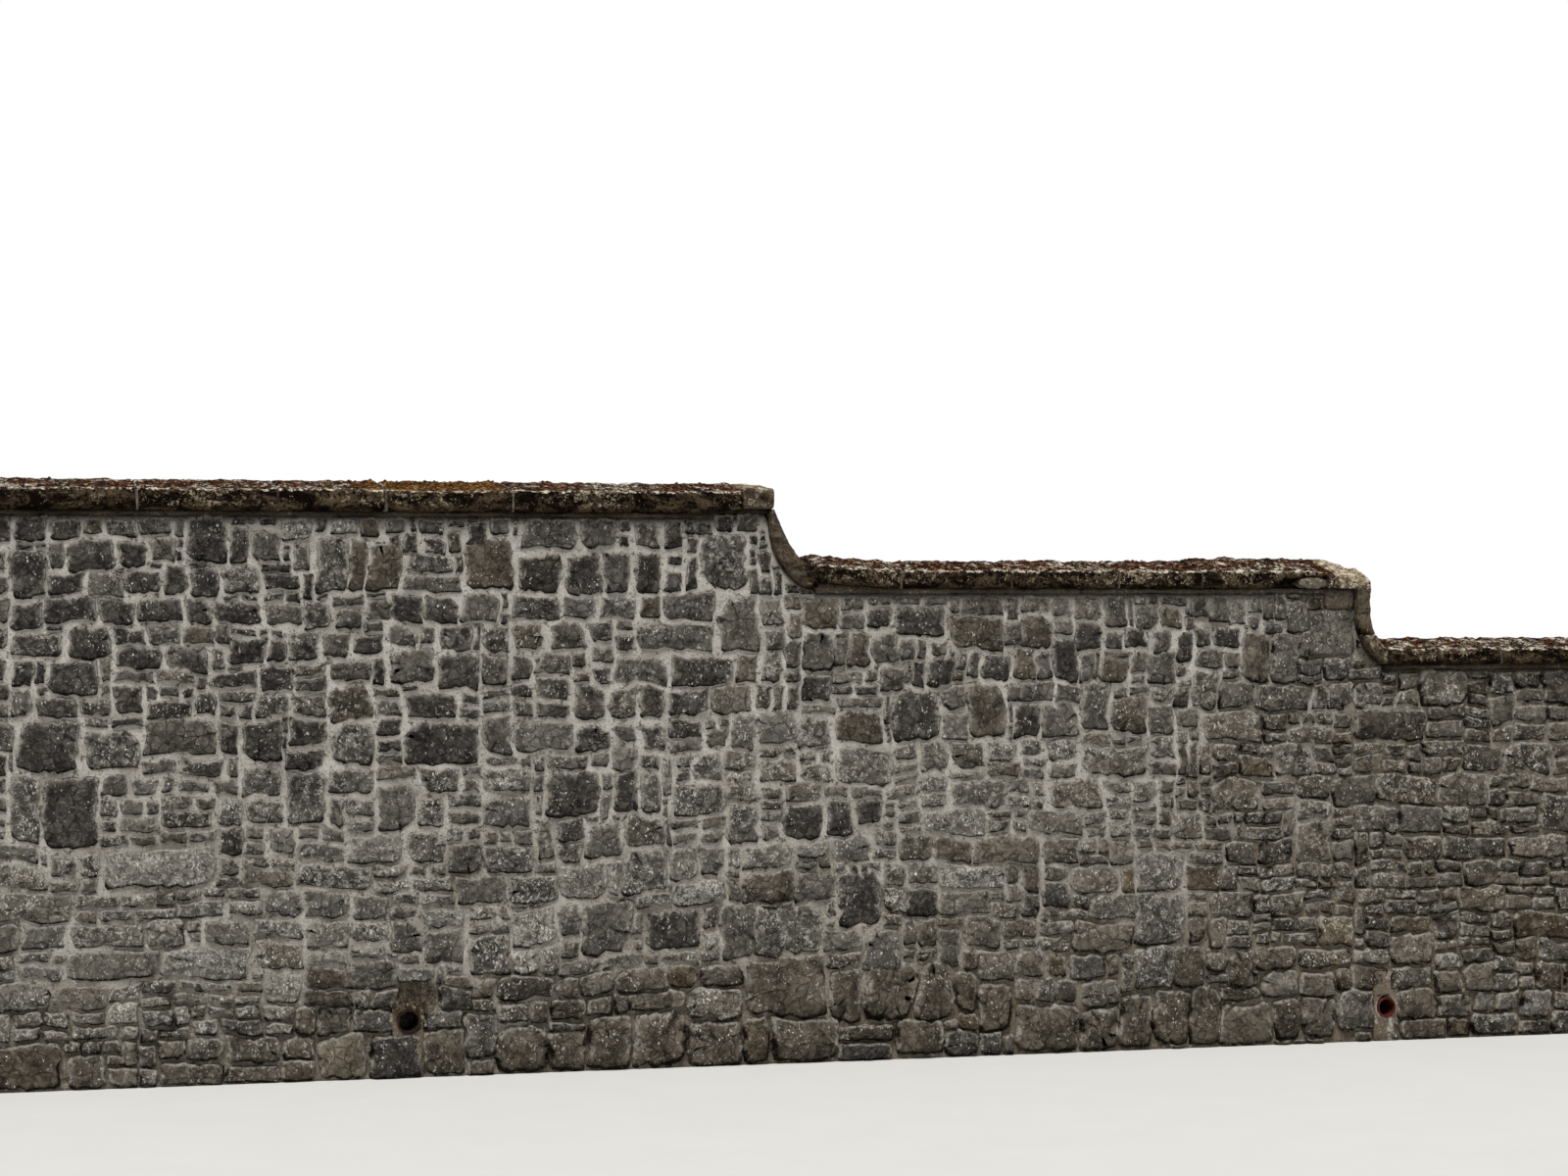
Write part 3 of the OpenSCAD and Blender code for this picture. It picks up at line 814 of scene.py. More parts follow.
def lay_stones(free, start, cell, smallest, side, seed, placed=()):
    """Fills a grid of free cells with blocks, from the foot up and from the left.

    free holds a row of cells for each height; start is the face's left edge; side turns
    the face's run into X.
    """
    rng = random.Random(seed)
    free = free.copy()
    rows, columns = free.shape
    least = round(smallest / cell)
    levels = [round(level / cell) for level in COURSES]
    whole = free.copy()
    blocks = list(placed)
    for block in placed:
        u0, u1, v0, v1 = block.box
        gap = 0.4 * block.zone.joint
        block.cells = [round((u0 - gap - start) / cell), round((u1 + gap - start) / cell),
                       max(round((v0 - gap) / cell), 0), round((v1 + gap) / cell)]
        a, b, c, d = block.cells
        free[c:d, a:b] = False
    for row in range(rows):
        column = 0
        while column < columns:
            if not free[row, column]:
                column += 1
                continue
            run = 1
            while column + run < columns and free[row, column + run]:
                run += 1
            u = start + column * cell
            zone = zone_at(side * (u + 0.05), row * cell + 0.02)
            usual_length, usual_height = zone.stone
            tall = usual_height * math.exp(rng.gauss(0.0, 0.26)) / cell
            line = next((level for level in levels if level > row + 2), rows)
            room = line - row
            if room < 1.45 * tall:
                tall = room
            elif room < 2.3 * tall:
                tall = room * rng.uniform(0.38, 0.62)
            if rng.random() < 0.10 and tall < 14:
                tall *= 1.55
            tall = max(least, round(tall))
            shape = usual_length / usual_height * math.exp(rng.gauss(0.0, 0.34))
            width = max(least + 1, round(tall * min(max(shape, 0.62), 2.7)))
            if run - width < least + 1:
                width = run if run < 1.5 * width + 2 else run // 2
            width = min(width, run)
            height = 0
            while row + height < min(row + tall, rows) and free[
                    row + height, column:column + width].all():
                height += 1
            # A sliver left above the stone is taken in
            extra = 0
            while row + height + extra < rows and extra < least and free[
                    row + height + extra, column:column + width].all():
                extra += 1
            if 0 < extra < least:
                height += extra
            free[row:row + height, column:column + width] = False
            if width >= 3 and height >= 3 and width * height >= 14:
                box = (column, column + width, row, row + height)
                tone = zone.tone + rng.gauss(0.0, 0.13)
                warmth = zone.warmth + rng.gauss(0.0, 0.15)
                if rng.random() < 0.07:
                    warmth += 0.35
                lichen = zone.lichen + rng.gauss(0.0, 0.25)
                block = Block(box, zone, tone, warmth, lichen)
                block.worn = zone.worn * rng.uniform(0.5, 1.6)
                blocks.append(block)
            column += width
    return fit_together(blocks, whole, start, cell, least, side, rng)


def fit_together(blocks, free, start, cell, least, face_side, rng):
    """Drops slivers, lets the stones beside them grow and packs small stones in the rest."""
    rows, columns = free.shape
    owner = np.full((rows + 2, columns + 2), -2)
    owner[1:-1, 1:-1][free] = -1
    kept = []
    for block in blocks:
        a, b, c, d = block.cells
        short, long = sorted((b - a, d - c))
        thin = short < least or long > 3.3 * short
        if thin and not block.placed and rng.random() < 0.88:
            continue
        owner[c + 1:d + 1, a + 1:b + 1] = len(kept)
        kept.append(block)
    firsts = [list(block.cells) for block in kept]
    for turn in range(5):
        for k in rng.sample(range(len(kept)), len(kept)):
            if turn > 1 and kept[k].placed:
                continue
            for side in rng.sample(range(4), 4):
                a, b, c, d = kept[k].cells
                strip = (owner[c + 1:d + 1, a], owner[c + 1:d + 1, b + 1],
                         owner[c, a + 1:b + 1], owner[d + 1, a + 1:b + 1])[side]
                if (strip == -1).all():
                    strip[:] = k
                    kept[k].cells[side] += (-1, 1, -1, 1)[side]
    for c in range(rows):
        for a in range(columns):
            if owner[c + 1, a + 1] != -1:
                continue
            b, d = a + 1, c + 1
            while b - a < 8 and owner[c + 1, b + 1] == -1:
                b += 1
            while d - c < 5 and (owner[d + 1, a + 1:b + 1] == -1).all():
                d += 1
            owner[c + 1:d + 1, a + 1:b + 1] = -2
            if b - a >= 3 and d - c >= 2 and rng.random() < 0.8:
                zone = zone_at(face_side * (start + a * cell), c * cell)
                tone = zone.tone + rng.uniform(-0.2, 0.1)
                kept.append(Block((a, b, c, d), zone, tone, zone.warmth, zone.lichen))
                firsts.append([a, b, c, d])
    for block, first in zip(kept, firsts):
        a, b, c, d = block.cells
        if block.placed:
            moved = [(now - was) * cell for now, was in zip(block.cells, first)]
            block.box = tuple(edge + step for edge, step in zip(block.box, moved))
        else:
            block.box = (start + a * cell, start + b * cell, c * cell, d * cell)
    return kept


def wander(u, v, top, ends, side):
    """Moves a point of the straight layout, so that beds roll and joints lean."""
    hold = smooth(v, 0.0, 0.16) * smooth(top - v, 0.0, 0.14)
    hold *= smooth(u - ends[0], 0.0, 0.1) * smooth(ends[1] - u, 0.0, 0.1)
    x = side * u
    across = 0.020 * lump(x, 0, v, 2.4, 3.0) + 0.016 * lump(x, 0, v, 7.5, 8.0)
    across += 0.011 * lump(x, 0, v, 15.0, 13.0)
    rise = 0.022 * lump(x, 0, v, 1.5, 1.0) + 0.020 * lump(x, 0, v, 5.5, 6.0)
    rise += 0.013 * lump(x, 0, v, 13.0, 17.0)
    # The beds climb to the right low in the high bay
    climb = smooth(v, 0.15, 0.5) * (1 - smooth(v, 0.95, 1.35))
    rise += 0.045 * climb * math.sin((x + 1.2) / 0.62) * (1 - smooth(abs(x + 1.2), 1.6, 2.2))
    return u + side * across * hold, v + rise * hold


class Heads:
    """Gathers the stones' heads of one piece as points, faces and looks."""

    def __init__(self):
        self.points = []
        self.faces = []
        self.looks = []

    def add(self, rings, centre, looks):
        """Adds one stone's head: rings from the rim inward, and its middle."""
        start = len(self.points)
        count = len(rings[0])
        for ring, ring_looks in zip(rings, looks):
            self.points += ring
            self.looks += ring_looks
        self.points.append(centre)
        self.looks.append(looks[-1][0])
        for i in range(len(rings) - 1):
            self.faces += bridge(start + i * count, start + (i + 1) * count, count)
        self.faces += fan(start + (len(rings) - 1) * count, len(self.points) - 1, count)


class Face(NamedTuple):
    """One face of the wall; top gives the height of its masonry at a place of its run."""

    origin: Vector
    along: Vector
    out: Vector
    side: int
    ends: tuple
    top: object

    def point(self, u, proud, v):
        """The place at u along the face, v up it and proud of it."""
        p = self.origin + self.along * u + self.out * proud
        return (p.x, p.y, v)


def stone_outline(block, face, rng, fine):
    """Worn, chipped outline of a block's head, as run and height on the face."""
    u0, u1, v0, v1 = block.box
    gap = 0.0 if block.placed else block.zone.joint / 2
    width = u1 - u0
    height = v1 - v0
    sides = [min(gap * rng.uniform(0.5, 1.5), 0.14 * span)
             for span in (width, width, height, height)]
    u0, u1, v0, v1 = u0 + sides[0], u1 - sides[1], v0 + sides[2], v1 - sides[3]
    small = min(width, height)
    lean = 0.05 if block.placed else 0.09
    turn = rng.uniform(-0.05, 0.05) * (0.4 if block.placed else 1.0) * small / width
    middle = Vector(((u0 + u1) / 2, (v0 + v1) / 2))
    corners = []
    for u, v, du, dv in ((u0, v0, 1, 1), (u1, v0, -1, 1), (u1, v1, -1, -1), (u0, v1, 1, -1)):
        u += du * rng.uniform(-0.4 * lean, lean) * small
        v += dv * rng.uniform(-0.4 * lean, lean) * small
        corners.append(Vector((u - turn * (v - middle.y), v + turn * (u - middle.x))))
    # One corner is knocked off more than the rest
    knocked = rng.randrange(4)
    out = []
    for k in range(4):
        corner = corners[k]
        before = corners[k - 1] - corner
        after = corners[(k + 1) % 4] - corner
        cut = small * block.worn * rng.uniform(0.2, 0.9)
        if k == knocked:
            cut = small * rng.uniform(0.16, 0.36)
        a = corner + before.normalized() * min(cut * rng.uniform(0.6, 1.4), before.length * 0.4)
        b = corner + after.normalized() * min(cut * rng.uniform(0.6, 1.4), after.length * 0.4)
        bow = 0.5 if block.worn > 0.3 else rng.uniform(0.05, 0.5)
        out.append(a)
        if fine:
            out.append(corner * bow + (a + b) * (0.5 - bow / 2))
        out.append(b)
        side = after.normalized()
        count = min(max(round(after.length / 0.036), 2), 6) if fine else 1
        notch = rng.randrange(count) if rng.random() < 0.5 else -1
        for j in range(count):
            part = 0.24 + 0.54 * (j + rng.uniform(0.25, 0.75)) / count
            bulge = rng.uniform(-0.045, 0.045)
            if j == notch:
                bulge -= rng.uniform(0.02, 0.055)
            out.append(corner + after * part + Vector((side.y, -side.x)) * bulge * small)
    jitter = 0.0030 if fine else 0.0
    shaped = []
    for p in out:
        u, v = wander(p.x, p.y, face.top(p.x), face.ends, face.side)
        shaped.append(Vector((u + rng.uniform(-jitter, jitter), v + rng.uniform(-jitter, jitter))))
    return shaped


def carve(block, face, heads, settings, rng, fine):
    """Makes one stone's head: rim in the mortar, worn edge and split, rough face."""
    outline = stone_outline(block, face, rng, fine)
    middle = sum(outline, Vector((0.0, 0.0))) / len(outline)
    half_u = max(abs(p.x - middle.x) for p in outline)
    half_v = max(abs(p.y - middle.y) for p in outline)
    half = min(half_u, half_v)
    proud = block.zone.proud * rng.uniform(0.4, 1.6)
    edge = min(0.007 + 0.30 * block.worn * half, 0.022, 0.40 * half)
    bulge = rng.uniform(0.2, 1.1) * block.zone.proud + 0.05 * half
    tilt = Vector((rng.uniform(-0.06, 0.06), rng.uniform(-0.10, 0.03)))
    shift = rng.uniform(0, 50)
    # Split facets: each falls away to one side from a line off the middle
    splits = []
    for _ in range(4):
        heading = rng.uniform(0, math.tau)
        splits.append((Vector((math.cos(heading), math.sin(heading))), rng.uniform(0.15, 0.60),
                       rng.uniform(0.0, 0.35) * half))
    opened = open_at(face.side * middle.x, middle.y)
    # Inset of each ring, how far it stands out, its share of the roughness, and its rim
    insets = [(-0.003, -settings.depth, 0.0, 1.0), (-0.003, -0.008, 0.2, 1.0),
              (0.45 * edge, 0.55 * proud, 0.5, 0.9), (edge, proud, 1.0, 0.3),
              (2.2 * edge + 0.006, proud + 0.5 * bulge, 1.3, 0.0)]
    if not fine:
        del insets[2]
    elif half > 0.046:
        insets.append((0.62 * half, proud + 0.85 * bulge, 1.4, 0.0))

    def place(p, out, rough):
        wobble = lump(p.x, shift, p.y, 15, shift) + 0.6 * lump(p.x, shift, p.y, 44, shift)
        out += settings.rough * rough * wobble * min(1.0, half_v / 0.05)
        if rough > 0.6:
            out += tilt.dot(p - middle)
            for way, steep, start in splits:
                out -= steep * min(max(way.dot(p - middle) - start, 0.0), 0.035)
            out = max(out, 0.002 + 0.3 * proud)
        return face.point(p.x, out, p.y)

    rings = []
    looks = []
    for inset, out, rough, rim in insets:
        inset = min(inset, (0.62 if rough > 1.35 else 0.44) * half)
        chip = 0.0016 if inset > 0 else 0.0
        ring = []
        ring_looks = []
        for p in outline:
            q = Vector((middle.x + (p.x - middle.x) * (1 - inset / half_u),
                        middle.y + (p.y - middle.y) * (1 - inset / half_v)))
            q += Vector((rng.uniform(-chip, chip), rng.uniform(-chip, chip)))
            ring.append(place(q, out, rough))
            # Painted shade on the rim: the lower edge, and open joints in patches, are darkened,
            # while mortar laps over the upper edge
            under = smooth((middle.y - p.y) / half_v, 0.45, 0.9)
            over = smooth((p.y - middle.y) / half_v, 0.45, 0.9)
            partly = smooth(lump(p.x, 1.0, p.y, 13, 31.0), -0.15, 0.3) * (1 - 0.8 * over)
            shade = clamp(opened * partly + 0.8 * under)
            rim_look = 0.5 + rim * (0.5 - shade)
            ring_looks.append((block.tone, block.warmth, rim_look, block.lichen))
        rings.append(ring)
        looks.append(ring_looks)
    heads.add(rings, place(middle, proud + bulge, 1.3), looks)


def open_at(x, z):
    """How open the joints are: flush up in the high bay, open low and to the right."""
    likely = 0.10 + 0.25 * (1 - smooth(z, 0.5, 1.3)) + 0.30 * (1 - smooth(z, 0.15, 0.5))
    likely += 0.35 * smooth(x, 1.0, 1.4) * (1 - smooth(z, 1.75, 2.0))
    likely += 0.6 * smooth(x, 1.45, 1.55) * smooth(z, 1.55, 1.68)
    return smooth(likely + 0.55 * lump(x, 1.0, z, 4.5, 21.0), 0.25, 0.65)


def dirt_at(x, z):
    """How dirty the pointing is: clean under the high coping, dark low and to the right."""
    dirt = 0.18 + 0.26 * (1 - smooth(z, 0.9, 1.8))
    dirt += 0.07 * smooth(x, -1.0, 0.2) + 0.36 * (1 - smooth(z, 0.15, 0.7))
    dirt += 0.30 * smooth(x, 1.1, 1.9) * (1 - smooth(z, 1.5, 1.9))
    dirt += 0.12 * smooth(x, 1.9, 2.2) * smooth(abs(z - 1.07), 0.12, 0.3)
    return clamp(dirt - 0.1 + 0.45 * open_at(x, z))


def brown_at(x, z):
    """How brown it is: at the foot of the middle bay and in the low bay."""
    brown = 0.12 + 0.5 * smooth(x, -2.2, -0.6) * (1 - smooth(z, 0.35, 1.1))
    return clamp(brown + 0.4 * smooth(x, 1.4, 2.2))


def eaten_at(x, z):
    """How much the pointing has crumbled above the high bay's weep pipe."""
    a, b = box("high_weep_pipe")
    away = math.hypot((x - b.x + 0.02) / 0.11, (z - b.z - 0.03) / 0.14)
    return 1 - smooth(away + 0.25 * lump(x, 0, z, 16, 2.0), 0.75, 1.05)


def face_mask(face, rows, columns, start, cell, blocked):
    """True for each cell of a face that stones may fill."""
    free = np.zeros((rows, columns), bool)
    for column in range(columns):
        u = start + (column + 0.5) * cell
        top = min(face.top(u - cell / 2), face.top(u), face.top(u + cell / 2))
        free[:max(0, int((top + 0.002) / cell)), column] = True
    for u0, u1, v0, v1 in blocked:
        a = max(0, round((u0 - start) / cell))
        b = max(0, round((u1 - start) / cell))
        free[max(0, round(v0 / cell)):round(v1 / cell), a:b] = False
    return free


def wall_faces(curves):
    """The front, the back and the two ends of the masonry."""
    front = Face(Vector((0, -FACE, 0)), Vector((1, 0, 0)), Vector((0, -1, 0)), 1,
                 (WALL_LEFT, WALL_RIGHT), curves.masonry_top)
    back = Face(Vector((0, FACE, 0)), Vector((-1, 0, 0)), Vector((0, 1, 0)), -1,
                (-WALL_RIGHT, -WALL_LEFT), lambda u: curves.masonry_top(-u))
    left = Face(Vector((WALL_LEFT, 0, 0)), Vector((0, -1, 0)), Vector((-1, 0, 0)), 1,
                (-FACE, FACE), lambda u: HIGH_TOP)
    right = Face(Vector((WALL_RIGHT, 0, 0)), Vector((0, 1, 0)), Vector((1, 0, 0)), 1,
                 (-FACE, FACE), lambda u: LOW_TOP)
    return {"front": front, "back": back, "left": left, "right": right}


def blocked_boxes(front):
    """Boxes on a long face that other pieces fill: collars and, in front, corner stones."""
    boxes = []
    for pipe in PIPES:
        a, b = box(pipe + "_pipe")
        boxes.append((a.x - 0.005, b.x + 0.005, a.z - 0.005, b.z + 0.005))
    if front:
        a, b = box("high_weep_pipe")
        boxes.append((a.x + 0.01, b.x + 0.06, b.z, b.z + 0.14))
        for node in ("seat_block", "corner_block"):
            a, b = box(node)
            boxes.append((a.x, b.x, a.z, b.z))
    return boxes


# Stones that show in the photograph, in millimetres from the first step (left, right) and
# from the foot (bottom, top), and the kind of each
MEASURED = (
    # High bay, the rows under the coping
    (-3255, -3115, 2050, 2235, "d"), (-3230, -3105, 2300, 2370, "d"),
    (-3090, -2965, 2280, 2375, "do"), (-3090, -3030, 2160, 2270, "g"),
    (-3010, -2825, 2155, 2275, "do"), (-2955, -2890, 2315, 2375, "b"),
    (-2855, -2760, 2280, 2365, "so"), (-2795, -2700, 2160, 2265, "do"),
    (-2725, -2595, 2320, 2370, "g"), (-2685, -2585, 2200, 2300, "g"),
    (-3095, -2955, 2050, 2140, "d"), (-2935, -2790, 2050, 2140, "g"),
    (-2780, -2635, 2055, 2150, "d"), (-2625, -2535, 2050, 2175, "d"),
    (-2580, -2545, 2305, 2375, "g"), (-2530, -2365, 2180, 2370, "d"),
    (-2515, -2405, 2055, 2155, "d"), (-2375, -2230, 2070, 2175, "so"),
    (-2340, -2280, 2200, 2330, "d"), (-2270, -2150, 2200, 2325, "g"),
    (-2205, -2060, 2075, 2135, "d"), (-2210, -2115, 2150, 2180, "d"),
    (-2140, -2015, 2280, 2360, "po"), (-2090, -2020, 2160, 2260, "s"),
    (-1995, -1855, 2075, 2300, "so"), (-2040, -2015, 2055, 2135, "d"),
    (-1840, -1790, 2070, 2285, "b"), (-1770, -1630, 2070, 2280, "b"),
    (-1930, -1820, 2315, 2375, "p"), (-1805, -1725, 2315, 2380, "b"),
    (-1700, -1610, 2325, 2380, "g"), (-1620, -1565, 2230, 2305, "d"),
    (-1545, -1440, 2235, 2300, "s"), (-1430, -1370, 2230, 2315, "b"),
    (-1350, -1265, 2255, 2340, "do"), (-1615, -1405, 2145, 2215, "s"),
    (-1590, -1380, 2070, 2130, "g"), (-1365, -1125, 2070, 2290, "b"),
    (-1245, -1160, 2325, 2385, "g"), (-3255, -3130, 1930, 2015, "d"),
    (-334, -115, 2060, 2306, "s"), (-161, -65, 2324, 2405, "g"), (-342, -270, 2306, 2364, "g"),
    (-258, -174, 2332, 2400, "do"), (-98, -60, 2060, 2167, "g"), (-56, 3, 2060, 2136, "s"),
    (-3110, -2900, 1940, 2030, "d"), (-2890, -2735, 1945, 2025, "d"),
    (-2725, -2565, 1940, 2035, "d"), (-2525, -2430, 1940, 2025, "d"),
    (-2415, -2225, 1935, 2020, "d"), (-2210, -2060, 1930, 2015, "g"),
    (-2045, -1940, 1925, 2015, "s"), (-1915, -1795, 1930, 2000, "g"),
    (-1775, -1680, 1940, 2035, "g"), (-1670, -1540, 1940, 2045, "d"),
    (-1520, -1400, 1945, 2035, "d"), (-1385, -1220, 1945, 2030, "g"),
    (-3225, -3040, 1790, 1885, "s"), (-3025, -2850, 1785, 1910, "do"),
    (-2830, -2710, 1840, 1905, "d"), (-2695, -2580, 1840, 1925, "s"),
    (-2550, -2420, 1855, 1925, "b"), (-2410, -2355, 1855, 1925, "g"),
    (-2360, -2210, 1760, 1875, "d"), (-2190, -2125, 1785, 1865, "d"),
    (-2105, -1985, 1775, 1880, "s"), (-1970, -1850, 1775, 1865, "g"),
    (-1840, -1720, 1800, 1875, "d"), (-2815, -2640, 1745, 1825, "d"),
    (-2605, -2450, 1740, 1835, "g"), (-1675, -1490, 1670, 1830, "go"),
    (-1465, -1310, 1665, 1815, "d"), (-1285, -1175, 1670, 1800, "g"),
    (-3085, -2890, 1630, 1765, "d"), (-2440, -2250, 1665, 1725, "d"),
    (-2220, -2080, 1655, 1740, "d"),
    # High bay, half way up
    (-3225, -2980, 1325, 1515, "d"), (-2955, -2725, 1330, 1490, "s"),
    (-3110, -2885, 1030, 1280, "d"), (-3255, -3160, 1040, 1315, "s"),
    (-2275, -2135, 1335, 1510, "d"), (-2105, -1940, 1420, 1530, "d"),
    (-1925, -1755, 1335, 1515, "s"), (-1615, -1300, 1330, 1510, "d"),
    (-1275, -1160, 1370, 1535, "g"), (-2125, -1955, 1085, 1290, "s"),
    (-1935, -1755, 1215, 1305, "s"), (-1735, -1570, 1060, 1230, "g"),
    (-1550, -1375, 1205, 1300, "s"),
    # Either side of the first step, low on the wall
    (-1010, -775, 1100, 1270, "d"), (-710, -605, 1110, 1280, "d"), (-435, -240, 1090, 1225, "s"),
    (-820, -675, 920, 1045, "g"), (-680, -500, 760, 945, "s"), (-455, -330, 820, 960, "p"),
    (-935, -735, 745, 890, "p"), (-1165, -955, 745, 840, "s"), (-1390, -1205, 740, 835, "g"),
    (-1265, -1060, 855, 975, "s"), (-1425, -1300, 870, 995, "g"), (-855, -630, 495, 710, "g"),
    (-580, -325, 515, 700, "d"), (-225, -60, 470, 705, "g"), (105, 260, 720, 835, "g"),
    (-135, 80, 710, 830, "b"), (285, 510, 590, 825, "d"), (-1530, -1345, 475, 635, "g"),
    (-1665, -1535, 525, 655, "g"), (-1330, -1165, 430, 605, "s"), (-200, -70, 965, 1140, "s"),
    (60, 215, 980, 1140, "d"), (250, 360, 985, 1175, "d"), (380, 500, 1015, 1170, "d"),
    # Middle bay, the rows under the coping
    (540, 755, 1410, 1625, "do"), (910, 1090, 1430, 1655, "bo"), (810, 1065, 1800, 1960, "b"),
    (565, 790, 1860, 2000, "do"), (1155, 1290, 1815, 1955, "b"), (1085, 1150, 1835, 1935, "g"),
    (1410, 1535, 1805, 1920, "d"), (1540, 1650, 1900, 2025, "g"), (1690, 1810, 1895, 2010, "g"),
    (1635, 1745, 1815, 1900, "do"), (1550, 1625, 1805, 1870, "g"), (1300, 1410, 1680, 1835, "d"),
    (1520, 1640, 1665, 1775, "b"), (1770, 1890, 1650, 1790, "g"), (1435, 1500, 1670, 1775, "g"),
    (1115, 1210, 1690, 1815, "b"), (1225, 1290, 1675, 1790, "g"), (965, 1090, 1685, 1770, "d"),
    (720, 840, 1640, 1765, "d"), (640, 700, 1650, 1755, "d"), (500, 610, 1635, 1730, "go"),
    (130, 250, 1590, 1715, "d"), (455, 565, 1760, 1875, "g"), (355, 445, 1730, 1880, "b"),
    (140, 275, 1720, 1860, "g"), (285, 335, 1760, 1840, "g"), (435, 530, 1920, 1995, "do"),
    (315, 420, 1895, 1970, "g"), (150, 300, 1895, 2010, "b"), (590, 650, 1765, 1855, "g"),
    (665, 710, 1775, 1830, "g"), (1890, 1970, 1745, 1875, "d"), (2372, 2428, 1930, 2050, "s"),
    (2433, 2530, 1870, 2016, "g"), (2360, 2485, 1662, 1862, "g"), (2492, 2533, 1770, 1860, "g"),
    (2495, 2605, 1680, 1760, "g"), (2614, 2737, 1655, 1760, "s"), (2315, 2405, 1875, 1925, "s"),
    (1780, 1875, 1800, 1900, "go"), (1990, 2130, 1715, 1805, "go"), (2075, 2190, 1815, 1895, "d"),
    (1980, 2065, 1820, 1900, "go"), (2055, 2140, 1920, 2030, "g"), (1960, 2040, 1945, 2025, "g"),
    (2150, 2230, 1910, 2010, "p"), (1930, 1980, 1885, 1955, "g"), (1805, 1890, 1905, 2000, "b"),
    (2215, 2350, 1645, 1870, "bo"), (290, 510, 1420, 1550, "b"), (1120, 1225, 1415, 1555, "d"),
    (1245, 1425, 1410, 1555, "g"), (1445, 1570, 1420, 1650, "go"), (1585, 1745, 1425, 1585, "b"),
    (1755, 1865, 1425, 1565, "g"), (1090, 1140, 1575, 1645, "g"), (1165, 1290, 1580, 1665, "g"),
    (1315, 1420, 1565, 1655, "g"), (55, 125, 1735, 1845, "g"), (-15, 55, 1815, 1910, "g"),
    # Foot of the wall
    (-65, 215, 475, 685, "s"), (-115, 230, 215, 440, "b"), (0, 305, 10, 185, "bo"),
    (260, 415, 185, 375, "bo"), (430, 665, 180, 400, "bo"), (675, 825, 185, 400, "bo"),
    (565, 780, 10, 175, "bo"), (790, 950, 0, 120, "do"), (955, 1055, 10, 105, "do"),
    (1130, 1420, 10, 220, "bo"), (1435, 1605, 10, 190, "bo"), (1610, 1760, 40, 250, "bo"),
    (1780, 1945, 50, 255, "b"), (1960, 2105, 30, 270, "b"), (1700, 1935, 480, 710, "s"),
    (1710, 1875, 270, 465, "s"), (1895, 2045, 270, 455, "b"), (2135, 2265, 270, 430, "b"),
    (1240, 1360, 650, 770, "d"), (960, 1120, 120, 320, "bo"), (320, 530, 0, 80, "do"),
    (410, 590, 410, 575, "g"), (610, 750, 630, 755, "d"), (765, 870, 415, 575, "g"),
    (-625, -385, 25, 235, "bo"), (-365, -140, 15, 205, "bo"), (-1530, -1362, 5, 192, "b"),
    (-1765, -1540, 0, 182, "d"), (-1352, -1215, 70, 262, "g"), (-1456, -1325, 275, 390, "d"),
    (-1850, -1645, 385, 500, "g"), (-1830, -1670, 192, 280, "g"), (2682, 2862, 80, 235, "g"),
    (2972, 3165, 100, 250, "b"), (2740, 2925, 248, 345, "b"), (-820, -640, 25, 245, "bo"),
    (-1225, -990, 5, 200, "bo"), (-975, -830, 10, 170, "bo"),
)
# Kinds of stone: tone, warmth and lichen; a kind with an o is worn round
KINDS = {"d": (0.08, 0.05, 0.20), "g": (0.36, 0.14, 0.35), "s": (0.28, 0.10, 0.75),
         "b": (0.32, 0.62, 0.20), "p": (0.60, 0.14, 0.85)}


def measured_blocks(front):
    """The measured stones as blocks of the straight layout."""
    out = []
    for *edges, kind in MEASURED:
        left, right, bottom, top = (edge / 1000 for edge in edges)
        x0, x1 = STEP_1 + left, STEP_1 + right
        x, z = (x0 + x1) / 2, (bottom + top) / 2
        u, v = wander(x, z, front.top(x), front.ends, 1)
        box = (x0 + x - u, x1 + x - u, max(bottom + z - v, 0.0), top + z - v)
        tone, warmth, lichen = KINDS[kind[0]]
        block = Block((), zone_at(x, z), tone, warmth, lichen, box)
        block.worn = 0.36 if kind.endswith("o") else 0.17
        out.append(block)
    return out


def bay_of(x):
    """Name of the bay that a stone at x belongs to."""
    if x < TOE_1:
        return "high"
    return "mid" if x < TOE_2 else "low"


BAY_NODES = {
    "high": ("high_wall", "high_foot_left", "high_foot_right"),
    "mid": ("mid_wall", "mid_foot"),
    "low": ("low_wall", "low_foot"),
}


